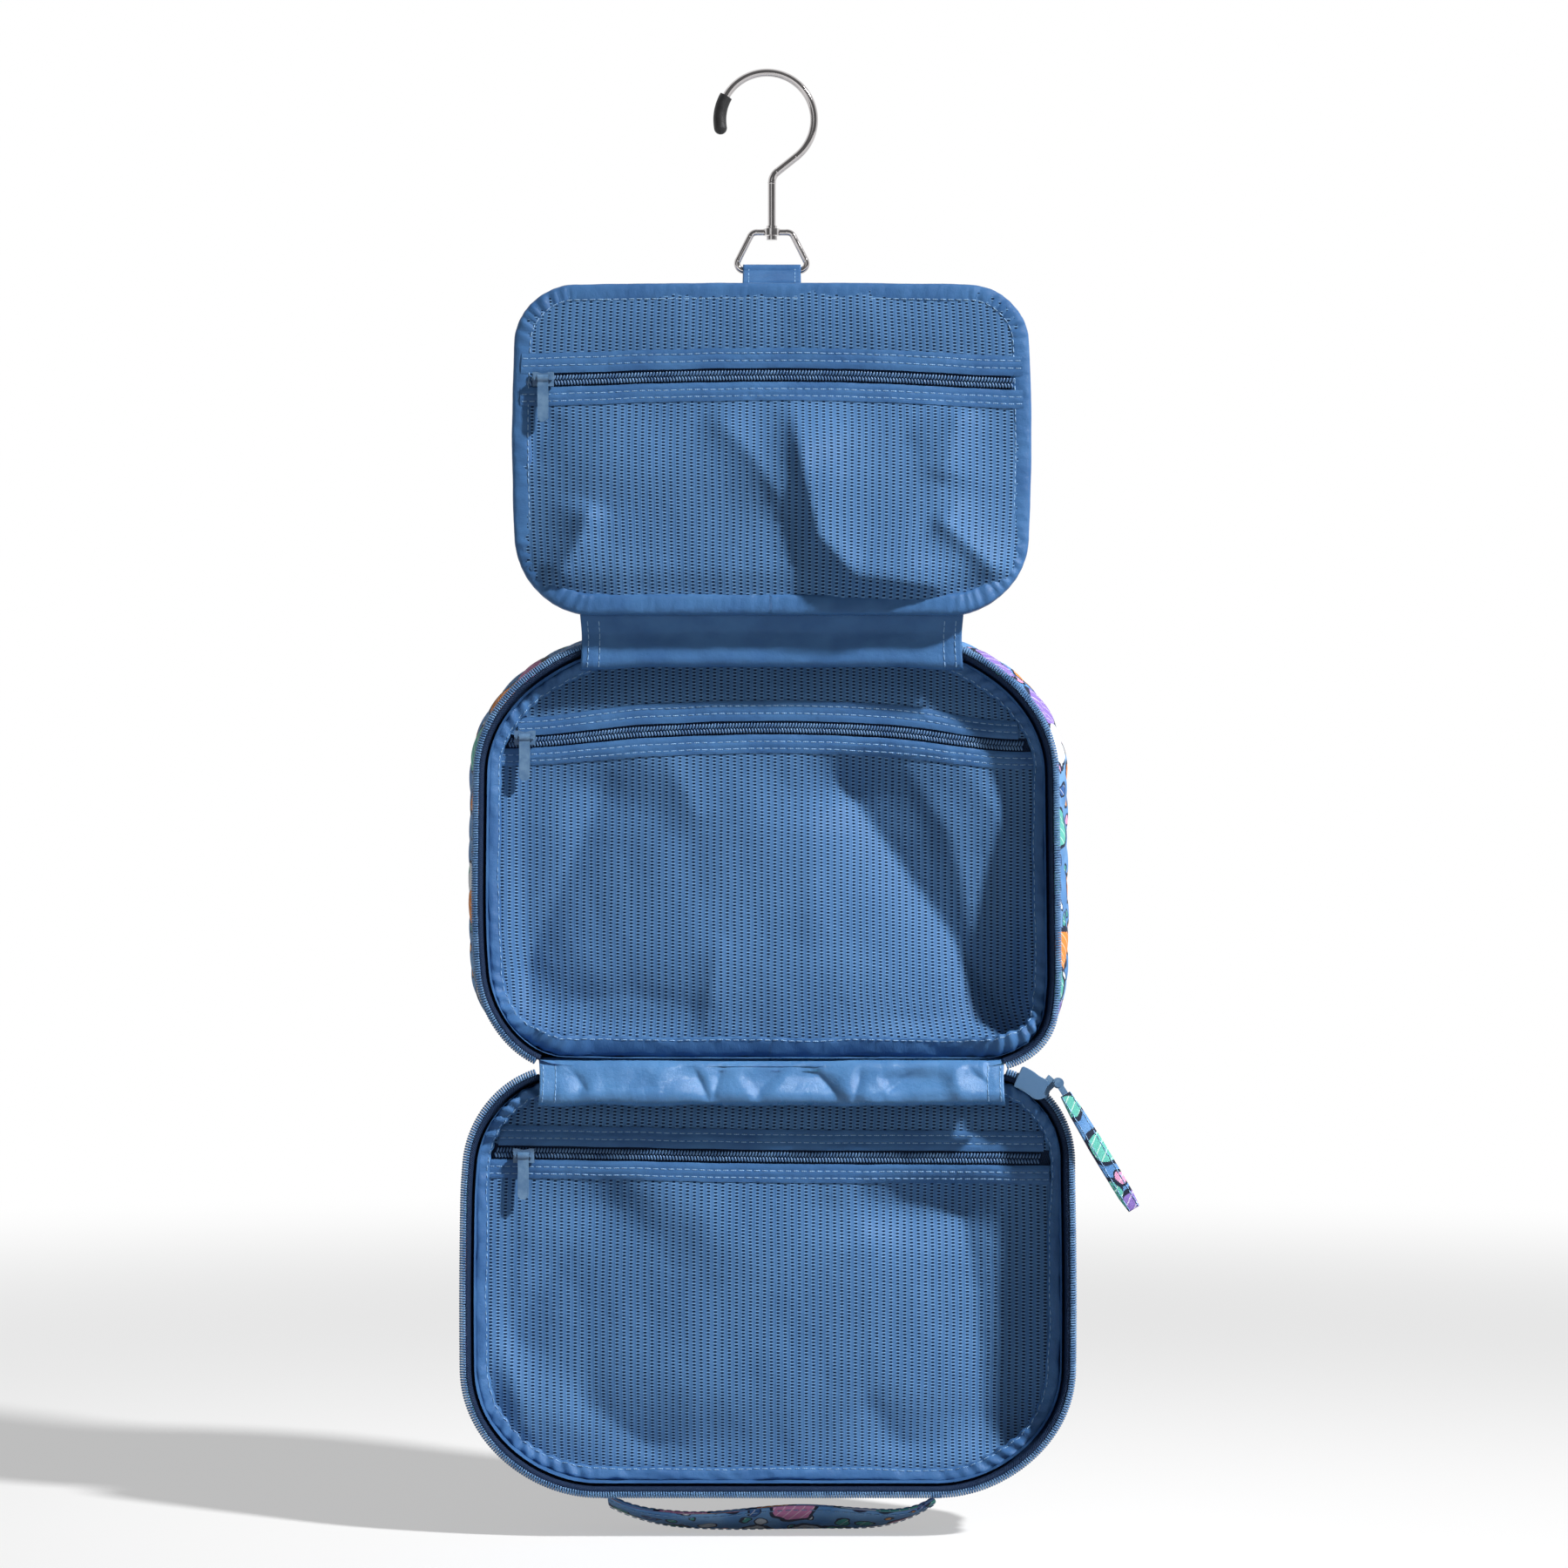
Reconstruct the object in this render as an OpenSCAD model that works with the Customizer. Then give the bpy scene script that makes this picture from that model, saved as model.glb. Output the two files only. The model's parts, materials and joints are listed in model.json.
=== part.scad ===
// Hanging toiletry bag: a hook on a swivel ring, a top flap and two zip-round cases
// that fold into one closed bag. Millimetres, X right, Y back, Z up.
// The origin is the seat of the hook, where the rail bears.

/* [Hook] */
// Diameter of the hook wire
hook_wire_d = 3.4; // [2.6:0.1:4.4]
// Radius of the hook curve to the middle of the wire
hook_bend_r = 20.2; // [15:0.1:28]
// Sideways offset of the curve from the stem
hook_offset = 2.1; // [0:0.1:4]
// How far the curve runs past level on the stem side, degrees
hook_sweep = 51.5; // [40:0.5:65]
// Length of the straight stem
hook_stem = 19.5; // [10:0.5:40]
// Diameter of the rubber cap on the hook end
tip_d = 5.6; // [4.6:0.1:8]
// Angle that the rubber cap covers, degrees
tip_sweep = 40; // [25:1:55]

/* [Swivel ring] */
// Diameter of the ring wire
ring_wire_d = 2.8; // [2:0.1:3.6]
// Width of the ring between the middles of its lower corners
ring_w = 29.6; // [26:0.2:40]
// Height of the ring between its two bars
ring_h = 16.4; // [12:0.2:24]
// Width of the short upper bar
ring_top_w = 13; // [10:0.2:18]
// Diameter of the swivel collar
collar_d = 7.2; // [6:0.1:8]
// Height of the swivel collar
collar_h = 2.8; // [2:0.1:5]

/* [Hanger tab] */
// Width of the fabric tab
tab_w = 25; // [15:0.5:26]
// Thickness of the folded tab fabric
tab_t = 1.0; // [0.6:0.1:1.4]
// Length of tab sewn to the back of the flap
tab_sewn = 12; // [8:0.5:25]

/* [Hang] */
// Lean of the bag on its ring, bottom forward, which brings its weight below the hook, degrees
hang_lean = 2.9; // [0:0.1:6]

/* [Cases] */
// Width of each case
case_w = 252; // [200:1:320]
// Height of each case
case_h = 180; // [160:1:240]
// Corner radius of each case beside the hinge
case_r = 38; // [30:0.5:48]
// Corner radius of each case away from the hinge
far_r = 55; // [40:0.5:64]
// Depth of the pocket behind the mesh
pocket_d = 24; // [14:0.5:50]
// Thickness of the quilted walls
wall_t = 2.6; // [1.8:0.1:4]
// Thickness of the lining
lining_t = 0.8; // [0.4:0.1:1.2]
// Thickness of the mesh
mesh_t = 0.6; // [0.4:0.1:1]
// Thickness of the padded piping round each mesh
piping_d = 5.4; // [4:0.1:7]
// Height of the zip below the top of the middle case
middle_zip_drop = 40; // [32:0.5:80]
// Height of the zip below the top of the lower case
lower_zip_drop = 36; // [32:0.5:80]

/* [Flap] */
// Inset of the flap from each side of the cases
flap_inset = 16; // [13:0.5:30]
// Clear space between the folded flap and the far side of the middle case
flap_foot = 18.4; // [17:0.2:30]
// Corner radius at the top of the flap
flap_top_r = 24; // [12:0.5:32]
// Corner radius at the bottom of the flap
flap_bottom_r = 32; // [14:0.5:38]
// Width of the binding
binding_w = 5.6; // [4:0.1:8]
// Depth of the empty flap pocket
flap_pocket_d = 5.6; // [4.4:0.1:7]
// Height of the zip below the top of the flap
flap_zip_drop = 41; // [26:0.5:60]

/* [Bands] */
// Inset of the bridge band from each side of the flap
bridge_inset = 28.5; // [26:0.5:60]
// Length of the bridge band below the flap
bridge_h = 15.8; // [12:0.2:26]
// Inset of the hinge band from each side of the cases
hinge_inset = 26; // [25:0.5:60]
// Length of the hinge band below its fold
hinge_h = 12.5; // [6:0.5:12.5]
// Thickness of the folded bands
band_t = 0.8; // [0.4:0.1:0.9]

/* [Main zip] */
// Width of the rim tape
rim_tape_w = 5.6; // [4:0.1:6]
// Thickness of the rim tape
rim_tape_t = 0.8; // [0.5:0.1:1]
// Width of one row of the rim coil
rim_coil_w = 2.8; // [2:0.1:3.6]
// Depth of one row of the rim coil
rim_coil_t = 2.4; // [1.8:0.1:3]
// Angle of the parked main slider from the hinge side, degrees
slider_park = 32.5; // [30:0.5:40]
// Length of the main slider along the coil, degrees
slider_arc = 16; // [12:0.5:18]
// Length of the fabric pull tab
pull_tab_len = 52; // [30:1:80]
// Width of the fabric pull tab
pull_tab_w = 8; // [5:0.1:9]
// Thickness of the fabric pull tab
pull_tab_t = 1.9; // [1.2:0.1:2.2]
// Lean of the hanging pull tab away from upright, degrees
pull_lean = 32; // [31:1:60]

/* [Pocket zips] */
// Width of one row of the pocket coil
coil_w = 2.0; // [1.4:0.1:2.6]
// Height of the pocket coil above its tape
coil_t = 1.6; // [1.2:0.1:2]
// Gap between the two rows of the pocket coil
coil_gap = 1.1; // [1.1:0.1:1.6]
// Width of each sewn facing beside the coil
facing_w = 9; // [6:0.5:12]
// Length of a pocket slider
pocket_slider_len = 9; // [8:0.5:14]
// Length of a pocket pull below its eye
pocket_pull_len = 18.5; // [12:0.5:24]
// Width of a pocket pull
pocket_pull_w = 4.6; // [4.2:0.1:5]

/* [Handle] */
// Length of the handle between its outer ends
handle_span = 140; // [90:1:160]
// Drop of the handle below the lower case
handle_drop = 12.6; // [11:0.2:30]
// Width of the handle strap
handle_w = 19; // [12:0.5:19]
// Thickness of the handle strap
handle_t = 2.4; // [1.6:0.1:3]

/* [Hidden] */
$fn = 64;
eps = 0.01;
// Clear space kept between pieces that move past each other
run = 0.3;
// Radial clearance of a turned fit
fit = 0.08;
hook_wire_r = hook_wire_d / 2;
ring_wire_r = ring_wire_d / 2;
tip_r = tip_d / 2;

// Heights of the hook
hook_seat_r = hook_bend_r - hook_wire_r;
hook_cz = -sqrt(hook_seat_r * hook_seat_r - hook_offset * hook_offset);
sweep_x = -hook_offset + hook_bend_r * cos(hook_sweep);
sweep_z = hook_cz - hook_bend_r * sin(hook_sweep);
elbow_r = 6;
elbow_run = elbow_r * tan(hook_sweep / 2);
slant_len = sweep_x / sin(hook_sweep) - elbow_run;
elbow_z = sweep_z - (slant_len + elbow_run) * cos(hook_sweep) - elbow_run;
tip_from = 150;
stem_z = elbow_z - hook_stem;

// Heights of the swivel and ring
tail_r = 1.3;
rivet_r = 2.3;
rivet_h = 1.6;
collar_top = stem_z - run;
collar_bottom = collar_top - collar_h;
rivet_top = collar_bottom - run;
ring_top_z = collar_top - collar_h / 2;
ring_z = ring_top_z - ring_h;
ring_corner = 3;
ring_lean = atan2((ring_w - ring_top_w) / 2, ring_h);
ring_leg_x = ring_corner * cos(ring_lean);
ring_leg_z = ring_corner * sin(ring_lean);
ring_low_x = ring_w / 2 - ring_corner;
ring_top_x = ring_low_x + ring_corner * tan((90 + ring_lean) / 2) - ring_h * tan(ring_lean)
  - ring_corner * tan((90 - ring_lean) / 2);

// Heights of the flap and cases
tab_rise = 8;
fold_inset = 4.8;
half_gap = 0.8;
seam_gap = 2;
flap_top = ring_z - tab_rise;
flap_w = case_w - 2 * flap_inset;
flap_h = case_h - fold_inset - bridge_h - flap_foot;
flap_bottom = flap_top - flap_h;
fold_z = flap_bottom - bridge_h;
middle_top = fold_z + fold_inset;
middle_z = middle_top - case_h / 2;
hinge_z = middle_top - case_h - seam_gap / 2;
lower_top = hinge_z - seam_gap / 2;
lower_z = lower_top - case_h / 2;
lower_bottom = lower_top - case_h;

// Depths measured back from the rim plane
hook_setback = 7;
rim_y = -hook_setback;
flap_back = 2;
flap_wall = wall_t - 0.2;
flap_lining_y = flap_back - flap_wall;
flap_mesh_back = flap_lining_y - 0.4 - flap_pocket_d;
flap_face = flap_mesh_back - mesh_t;
facing_t = 0.8;
tape_t = 0.6;
plate_t = 1;
coil_front = coil_t - mesh_t;
plate_back = coil_front + 0.4;
plate_front = plate_back + plate_t;
bar_r = 0.75;
eye_r = 1.65;
bar_out = plate_front + run + eye_r;
zip_reach = bar_out + eye_r;
recess = max(-flap_face + zip_reach + 1.9, 14);
case_d = recess + mesh_t + pocket_d + lining_t + wall_t;
wall_y = half_gap + 0.1 + rim_tape_t;
well_in = wall_t + lining_t;
bridge_w = flap_w - 2 * bridge_inset;
hinge_w = case_w - 2 * hinge_inset;

// Main zip
corner_x = case_w / 2 - case_r;
coil_in = case_r + 0.2;
coil_out = coil_in + rim_coil_w;
coil_y0 = half_gap;
coil_y1 = half_gap + rim_coil_t;
plate_in = case_r - 3.2;
plate_out = coil_out + 2;
park_a = slider_park;
pin_r = 1.0;
pin_gap = 0.1;
eye_out = 2.3;
pin_rad = coil_out + pull_tab_w / 2 + 1.7;
pin_a = park_a + slider_arc / 2 + 4.5;
pin_x = corner_x + pin_rad * sin(pin_a);
pin_z = lower_top - case_r + pin_rad * cos(pin_a);
slider_travel = 90 - park_a - slider_arc / 2 - 2;
// Radii of the upper and lower corners of a case, from the side that its hinge is on
function top_r(hinge_side) = hinge_side > 0 ? case_r : far_r;
function foot_r(hinge_side) = hinge_side > 0 ? far_r : case_r;
// Ends of the main zip beside the hinge band, where its two rows part
row_gap = seam_gap / 2 - run;
zip_end_x = max(hinge_w / 2 + 0.5, corner_x + sqrt(coil_out ^ 2 - (case_r + row_gap) ^ 2));

// Pocket zips
flap_chain = flap_w / 2 - binding_w;
case_chain = case_w / 2 - well_in - 0.2;
flap_park = -flap_chain + pocket_slider_len / 2 + 3;
case_park = -case_chain + piping_d + pocket_slider_len / 2 + 7;
flap_zip_z = flap_top - flap_zip_drop;
middle_zip_z = middle_top - middle_zip_drop;
lower_zip_z = lower_top - lower_zip_drop;

// Handle
handle_y = rim_y + (case_d + wall_y) / 2;
knuckle_r = 1.6;
anchor_t = 0.6;
handle_z = lower_bottom - anchor_t - run - knuckle_r;

// Colours
c_chrome = [0.36, 0.37, 0.39];
c_rubber = [0.06, 0.06, 0.07];
c_print = [0.45, 0.6, 0.78];
c_lining = [0.24, 0.42, 0.65];
c_mesh = [0.3, 0.47, 0.68];
c_tape = [0.16, 0.29, 0.48];
c_coil = [0.25, 0.42, 0.62];
c_metal = [0.42, 0.55, 0.66];

// Stands a flat outline up in the front view, from depth y0 back to y1
module slab(y0, y1) {
  translate([0, y1, 0])
    rotate([90, 0, 0])
      linear_extrude(y1 - y0)
        children();
}

// Runs a side-view outline, drawn as depth and height, along X
module along_x(len) {
  translate([-len / 2, 0, 0])
    rotate([90, 0, 90])
      linear_extrude(len)
        children();
}

// Upright rectangle with one radius at the top corners and one at the bottom
module panel(w, h, rt, rb) {
  translate([-w / 2, -h / 2 + rb])
    square([w, h - rt - rb]);
  translate([-w / 2 + rt, h / 2 - rt])
    square([w - 2 * rt, rt]);
  translate([-w / 2 + rb, -h / 2])
    square([w - 2 * rb, rb]);
  for (s = [-1, 1]) {
    translate([s * (w / 2 - rt), h / 2 - rt])
      circle(rt);
    translate([s * (w / 2 - rb), -h / 2 + rb])
      circle(rb);
  }
}

// Outline of a case drawn in by a margin, or out by a negative one
module case_outline(margin, hinge_side) {
  panel(case_w - 2 * margin, case_h - 2 * margin, top_r(hinge_side) - margin, foot_r(hinge_side) - margin);
}

// Outline of the flap drawn in by a margin
module flap_outline(margin) {
  translate([0, flap_top - flap_h / 2])
    panel(flap_w - 2 * margin, flap_h - 2 * margin, flap_top_r - margin, flap_bottom_r - margin);
}

// Bag as it hangs, leaning on the lower bar of the ring
module hung() {
  translate([0, 0, ring_z])
    rotate([-hang_lean, 0, 0])
      translate([0, 0, -ring_z])
        children();
}

// Straight round rod between two points of the front view
module rod(p, q, r) {
  translate([p[0], 0, p[1]])
    rotate([0, atan2(q[0] - p[0], q[1] - p[1]), 0])
      cylinder(h = norm(q - p), r = r);
}

// Round wire bent about a point of the front view, from angle a over a sweep
module bend(cx, cz, r, wire_r, a, sweep) {
  translate([cx, 0, cz])
    rotate([90, 0, 0])
      rotate([0, 0, a])
        rotate_extrude(angle = sweep)
          translate([r, 0])
            circle(wire_r);
}

// Slight swelling where two lengths of wire run into each other
module knot(x, z, wire_r) {
  translate([x, 0, z])
    sphere(1.04 * wire_r);
}

module hook() {
  slant_x = sweep_x - slant_len * sin(hook_sweep);
  slant_z = sweep_z - slant_len * cos(hook_sweep);
  color(c_chrome) {
    bend(-hook_offset, hook_cz, hook_bend_r, hook_wire_r, -hook_sweep, tip_from + 22 + hook_sweep);
    knot(sweep_x, sweep_z, hook_wire_r);
    rod([sweep_x, sweep_z], [slant_x, slant_z], hook_wire_r);
    knot(slant_x, slant_z, hook_wire_r);
    bend(elbow_r, elbow_z, elbow_r, hook_wire_r, 180 - hook_sweep, hook_sweep);
    knot(0, elbow_z, hook_wire_r);
    translate([0, 0, stem_z])
      cylinder(h = hook_stem, r = hook_wire_r);
    translate([0, 0, stem_z])
      cylinder(h = 1, r = rivet_r);
    translate([0, 0, rivet_top])
      cylinder(h = stem_z - rivet_top + eps, r = tail_r);
  }
}

module hook_tip() {
  color(c_rubber)
    difference() {
      union() {
        bend(-hook_offset, hook_cz, hook_bend_r, tip_r, tip_from, tip_sweep);
        translate([-hook_offset, 0, hook_cz])
          rotate([0, -tip_from - tip_sweep, 0])
            translate([hook_bend_r, 0, 0])
              sphere(tip_r);
      }
      bend(-hook_offset, hook_cz, hook_bend_r, hook_wire_r + 0.05, tip_from - 4, 26.3);
    }
}

module hook_rivet() {
  color(c_chrome)
    translate([0, 0, rivet_top - rivet_h])
      cylinder(h = rivet_h, r = rivet_r);
}

module swivel_collar() {
  color(c_chrome)
    difference() {
      translate([0, 0, collar_bottom])
        cylinder(h = collar_h, d = collar_d);
      translate([0, 0, collar_bottom - 1])
        cylinder(h = collar_h + 2, r = tail_r + fit);
    }
}

module ring() {
  color(c_chrome)
    difference() {
      union() {
        rod([-ring_top_x, ring_top_z], [ring_top_x, ring_top_z], ring_wire_r);
        rod([-ring_low_x, ring_z], [ring_low_x, ring_z], ring_wire_r);
        for (m = [0, 1])
          mirror([m, 0, 0]) {
            bend(ring_top_x, ring_top_z - ring_corner, ring_corner, ring_wire_r, ring_lean, 90 - ring_lean);
            bend(ring_low_x, ring_z + ring_corner, ring_corner, ring_wire_r, -90, 90 + ring_lean);
            rod([ring_top_x + ring_leg_x, ring_top_z - ring_corner + ring_leg_z],
              [ring_low_x + ring_leg_x, ring_z + ring_corner + ring_leg_z], ring_wire_r);
            knot(ring_top_x, ring_top_z, ring_wire_r);
            knot(ring_top_x + ring_leg_x, ring_top_z - ring_corner + ring_leg_z, ring_wire_r);
            knot(ring_low_x + ring_leg_x, ring_z + ring_corner + ring_leg_z, ring_wire_r);
            knot(ring_low_x, ring_z, ring_wire_r);
          }
      }
      translate([0, 0, collar_bottom - 2])
        cylinder(h = collar_h + 4, d = collar_d);
    }
}

module hanger_tab() {
  loop_in = ring_wire_r + run;
  loop_out = loop_in + tab_t;
  back_y = rim_y + flap_back;
  w = min(tab_w, ring_w - 4.4);
  color(c_lining)
    difference() {
      union() {
        along_x(w)
          translate([0, ring_z])
            circle(loop_out);
        along_x(w)
          polygon([
            [-loop_out - 0.3, ring_z + tab_t / 2],
            [0.2, ring_z - loop_out + 0.3],
            [-loop_in - run, ring_z - loop_out - 2],
            [back_y + 1.4 * tab_t, flap_top],
            [back_y + 1.4 * tab_t, flap_top - tab_sewn],
            [back_y, flap_top - tab_sewn],
            [back_y, flap_top + 2]
          ]);
      }
      along_x(w + 2)
        translate([0, ring_z])
          circle(loop_in);
    }
}

module flap_outer_panel() {
  color(c_print)
    translate([0, rim_y, 0])
      slab(flap_lining_y, flap_back)
        flap_outline(binding_w);
}

module flap_lining() {
  color(c_lining)
    translate([0, rim_y, 0])
      slab(flap_lining_y - 0.4, flap_lining_y)
        flap_outline(binding_w);
}

module flap_binding() {
  color(c_lining)
    translate([0, rim_y, 0])
      slab(flap_face, flap_back)
        difference() {
          flap_outline(0);
          flap_outline(binding_w);
        }
}

// Part of an outline above or below a zip line, starting at a distance from it
module beside_zip(zip_z, from, side) {
  intersection() {
    children();
    translate([-case_w, side > 0 ? zip_z + from : zip_z - from - case_h])
      square([2 * case_w, case_h]);
  }
}

// Mesh above or below a zip line
module zip_mesh(zip_z, face, side) {
  color(c_mesh)
    slab(face, face + mesh_t)
      beside_zip(zip_z, coil_gap / 2 + coil_w + 1.4, side)
        children();
}

// Strip that covers the raw edge beside a zip
module zip_facing(zip_z, face, side) {
  from = coil_gap / 2 + coil_w + 0.6;
  color(c_lining)
    slab(face - facing_t, face)
      intersection() {
        children();
        translate([-case_w / 2, side > 0 ? zip_z + from : zip_z - from - facing_w])
          square([case_w, facing_w]);
      }
}

// Part of an outline in a strip along one edge of a zip
module zip_strip(zip_z, side, strip_w) {
  from = coil_gap / 2;
  intersection() {
    children();
    translate([-case_w / 2, side > 0 ? zip_z + from : zip_z - from - strip_w])
      square([case_w, strip_w]);
  }
}

// Two halves of a zip tape behind the mesh
module zip_tape(zip_z, face) {
  color(c_tape)
    for (s = [-1, 1])
      slab(face + mesh_t, face + mesh_t + tape_t)
        zip_strip(zip_z, s, coil_w + 4)
          children();
}

// Two closed rows of a pocket coil
module zip_coil(zip_z, face) {
  color(c_coil)
    for (s = [-1, 1])
      slab(face - coil_front, face + mesh_t)
        zip_strip(zip_z, s, coil_w)
          children();
}

// Slider of a pocket zip, with a round bar for its pull
module zip_slider(x, zip_z, face) {
  half_h = coil_gap / 2 + coil_w + 0.5;
  leg = 1.2;
  bar_half = pocket_pull_w / 2 + run + leg;
  color(c_metal)
    translate([x, face, zip_z]) {
      difference() {
        slab(-plate_front, -plate_back)
          square([pocket_slider_len, 2 * half_h], center = true);
        for (s = [-1, 1])
          translate([0, -plate_front - 1, s * (half_h + 4.4)])
            rotate([-90, 0, 0])
              cylinder(h = plate_t + 2, r = 5);
      }
      slab(mesh_t + tape_t + run, mesh_t + tape_t + run + 0.9)
        square([pocket_slider_len, 2 * half_h], center = true);
      slab(-plate_back - eps, mesh_t + tape_t + run + eps)
        translate([-pocket_slider_len / 2 + 0.4, -(coil_gap / 2 - run)])
          square([2.4, 2 * (coil_gap / 2 - run)]);
      for (s = [-1, 1])
        slab(-bar_out - bar_r, -plate_front + eps)
          translate([s * (bar_half - leg / 2) - leg / 2, -bar_r])
            square([leg, 2 * bar_r]);
      translate([-bar_half, -bar_out, 0])
        rotate([0, 90, 0])
          cylinder(h = 2 * bar_half, r = bar_r);
    }
}

// Pull of a pocket zip, hanging from the slider's bar
module zip_pull(x, zip_z, face) {
  w = pocket_pull_w;
  t = 1.5;
  color(c_metal)
    translate([x, face - bar_out, zip_z])
      difference() {
        union() {
          translate([-w / 2, 0, 0])
            rotate([0, 90, 0])
              cylinder(h = w, r = eye_r);
          slab(-t / 2, t / 2) {
            translate([-w / 2, -pocket_pull_len + w / 2])
              square([w, pocket_pull_len - w / 2]);
            translate([0, -pocket_pull_len + w / 2])
              circle(w / 2);
          }
        }
        translate([-w, 0, 0])
          rotate([0, 90, 0])
            cylinder(h = 2 * w, r = bar_r + fit);
      }
}

module flap_mesh_upper() {
  translate([0, rim_y, 0])
    zip_mesh(flap_zip_z, flap_face, 1)
      flap_outline(binding_w);
}

module flap_mesh_lower() {
  translate([0, rim_y, 0])
    zip_mesh(flap_zip_z, flap_face, -1)
      flap_outline(binding_w);
}

module flap_facing_upper() {
  translate([0, rim_y, 0])
    zip_facing(flap_zip_z, flap_face, 1)
      flap_outline(binding_w - 1);
}

module flap_facing_lower() {
  translate([0, rim_y, 0])
    zip_facing(flap_zip_z, flap_face, -1)
      flap_outline(binding_w - 1);
}

module flap_pocket_tape() {
  translate([0, rim_y, 0])
    zip_tape(flap_zip_z, flap_face)
      flap_outline(binding_w);
}

module flap_pocket_coil() {
  translate([0, rim_y, 0])
    zip_coil(flap_zip_z, flap_face)
      flap_outline(binding_w);
}

module flap_slider() {
  translate([0, rim_y, 0])
    zip_slider(flap_park, flap_zip_z, flap_face);
}

module flap_pull() {
  translate([0, rim_y, 0])
    zip_pull(flap_park, flap_zip_z, flap_face);
}

module bridge_band() {
  color(c_lining)
    translate([0, rim_y, 0])
      along_x(bridge_w) {
        translate([-band_t / 2, fold_z])
          square([band_t, bridge_h]);
        translate([0, fold_z])
          circle(0.6);
      }
}

module bridge_hem() {
  hem_top = middle_top - wall_t;
  lip_top = min(fold_z - 0.8, middle_top - rim_tape_w - 0.2);
  lip_foot = lip_top - 2.4;
  color(c_lining)
    translate([0, rim_y, 0]) {
      intersection() {
        along_x(bridge_w)
          translate([wall_y, lip_foot])
            square([1, hem_top - lip_foot]);
        translate([0, 0, middle_z])
          slab(0, recess)
            case_outline(wall_t, -1);
      }
      intersection() {
        along_x(bridge_w)
          translate([1, lip_foot])
            square([wall_y - 0.5, lip_top - lip_foot]);
        translate([0, 0, middle_z])
          slab(0, recess)
            case_outline(rim_tape_w + 0.2, -1);
      }
    }
}

// Back panel of a case
module case_back(cz, hinge_side) {
  color(c_print)
    translate([0, rim_y, cz])
      slab(case_d - wall_t, case_d)
        case_outline(0, hinge_side);
}

// Side wall of a case, carried forward to the hinge on its hinge side
module case_gusset(cz, hinge_side) {
  color(c_print)
    translate([0, rim_y, cz]) {
      slab(wall_y, case_d - wall_t)
        difference() {
          case_outline(0, hinge_side);
          case_outline(wall_t, hinge_side);
        }
      slab(half_gap, wall_y + eps)
        intersection() {
          difference() {
            case_outline(0, hinge_side);
            case_outline(wall_t, hinge_side);
          }
          translate([-hinge_w / 2, hinge_side > 0 ? case_h / 2 - wall_t : -case_h / 2])
            square([hinge_w, wall_t]);
        }
    }
}

// Lining of a case, a tray against its walls and back
module case_lining(cz, hinge_side) {
  color(c_lining)
    translate([0, rim_y, cz]) {
      slab(wall_y + 1, case_d - wall_t)
        difference() {
          case_outline(wall_t, hinge_side);
          case_outline(well_in, hinge_side);
        }
      slab(case_d - wall_t - lining_t, case_d - wall_t)
        case_outline(wall_t, hinge_side);
    }
}

// Outline of the main zip, which leaves out the hinge side
module three_sides(hinge_side) {
  difference() {
    children();
    translate([-zip_end_x, hinge_side > 0 ? case_h / 2 - 14 : -case_h / 2 - 6])
      square([2 * zip_end_x, 20]);
  }
}

// Tape of the main zip on the rim of a case
module case_rim_tape(cz, hinge_side) {
  color(c_tape)
    translate([0, rim_y, cz])
      slab(wall_y - rim_tape_t, wall_y)
        three_sides(hinge_side)
          difference() {
            case_outline(-0.2, hinge_side);
            case_outline(rim_tape_w, hinge_side);
          }
}

// One row of the main coil round the rim of a case
module case_rim_coil(cz, hinge_side) {
  color(c_coil)
    translate([0, rim_y, cz])
      slab(coil_y0, coil_y1)
        three_sides(hinge_side)
          difference() {
            case_outline(-0.2 - rim_coil_w, hinge_side);
            case_outline(-0.2, hinge_side);
          }
}

// Padded piping round the mesh of a case
module case_piping(cz, hinge_side) {
  r = piping_d / 2;
  margin = well_in + 0.1 + r;
  high_r = top_r(hinge_side) - margin;
  low_r = foot_r(hinge_side) - margin;
  half_x = case_w / 2 - margin;
  half_z = case_h / 2 - margin;
  color(c_lining)
    translate([0, rim_y + recess - r - 0.1, cz]) {
      for (s = [0, 1])
        mirror([s, 0, 0]) {
          bend(half_x - high_r, half_z - high_r, high_r, r, 0, 90);
          bend(half_x - low_r, low_r - half_z, low_r, r, -90, 90);
          rod([half_x, low_r - half_z], [half_x, half_z - high_r], r);
        }
      rod([high_r - half_x, half_z], [half_x - high_r, half_z], r);
      rod([low_r - half_x, -half_z], [half_x - low_r, -half_z], r);
    }
}

module middle_back_panel() {
  case_back(middle_z, -1);
}

module middle_gusset() {
  case_gusset(middle_z, -1);
}

module middle_lining() {
  case_lining(middle_z, -1);
}

module middle_rim_tape() {
  case_rim_tape(middle_z, -1);
}

module middle_rim_coil() {
  case_rim_coil(middle_z, -1);
}

module middle_piping() {
  case_piping(middle_z, -1);
}

module middle_mesh_upper() {
  translate([0, rim_y, 0])
    zip_mesh(middle_zip_z, recess, 1)
      translate([0, middle_z])
        case_outline(well_in, -1);
}

module middle_mesh_lower() {
  translate([0, rim_y, 0])
    zip_mesh(middle_zip_z, recess, -1)
      translate([0, middle_z])
        case_outline(well_in, -1);
}

module middle_facing_upper() {
  translate([0, rim_y, 0])
    zip_facing(middle_zip_z, recess, 1)
      translate([0, middle_z])
        case_outline(well_in + piping_d + 0.6, -1);
}

module middle_facing_lower() {
  translate([0, rim_y, 0])
    zip_facing(middle_zip_z, recess, -1)
      translate([0, middle_z])
        case_outline(well_in + piping_d + 0.6, -1);
}

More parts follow.
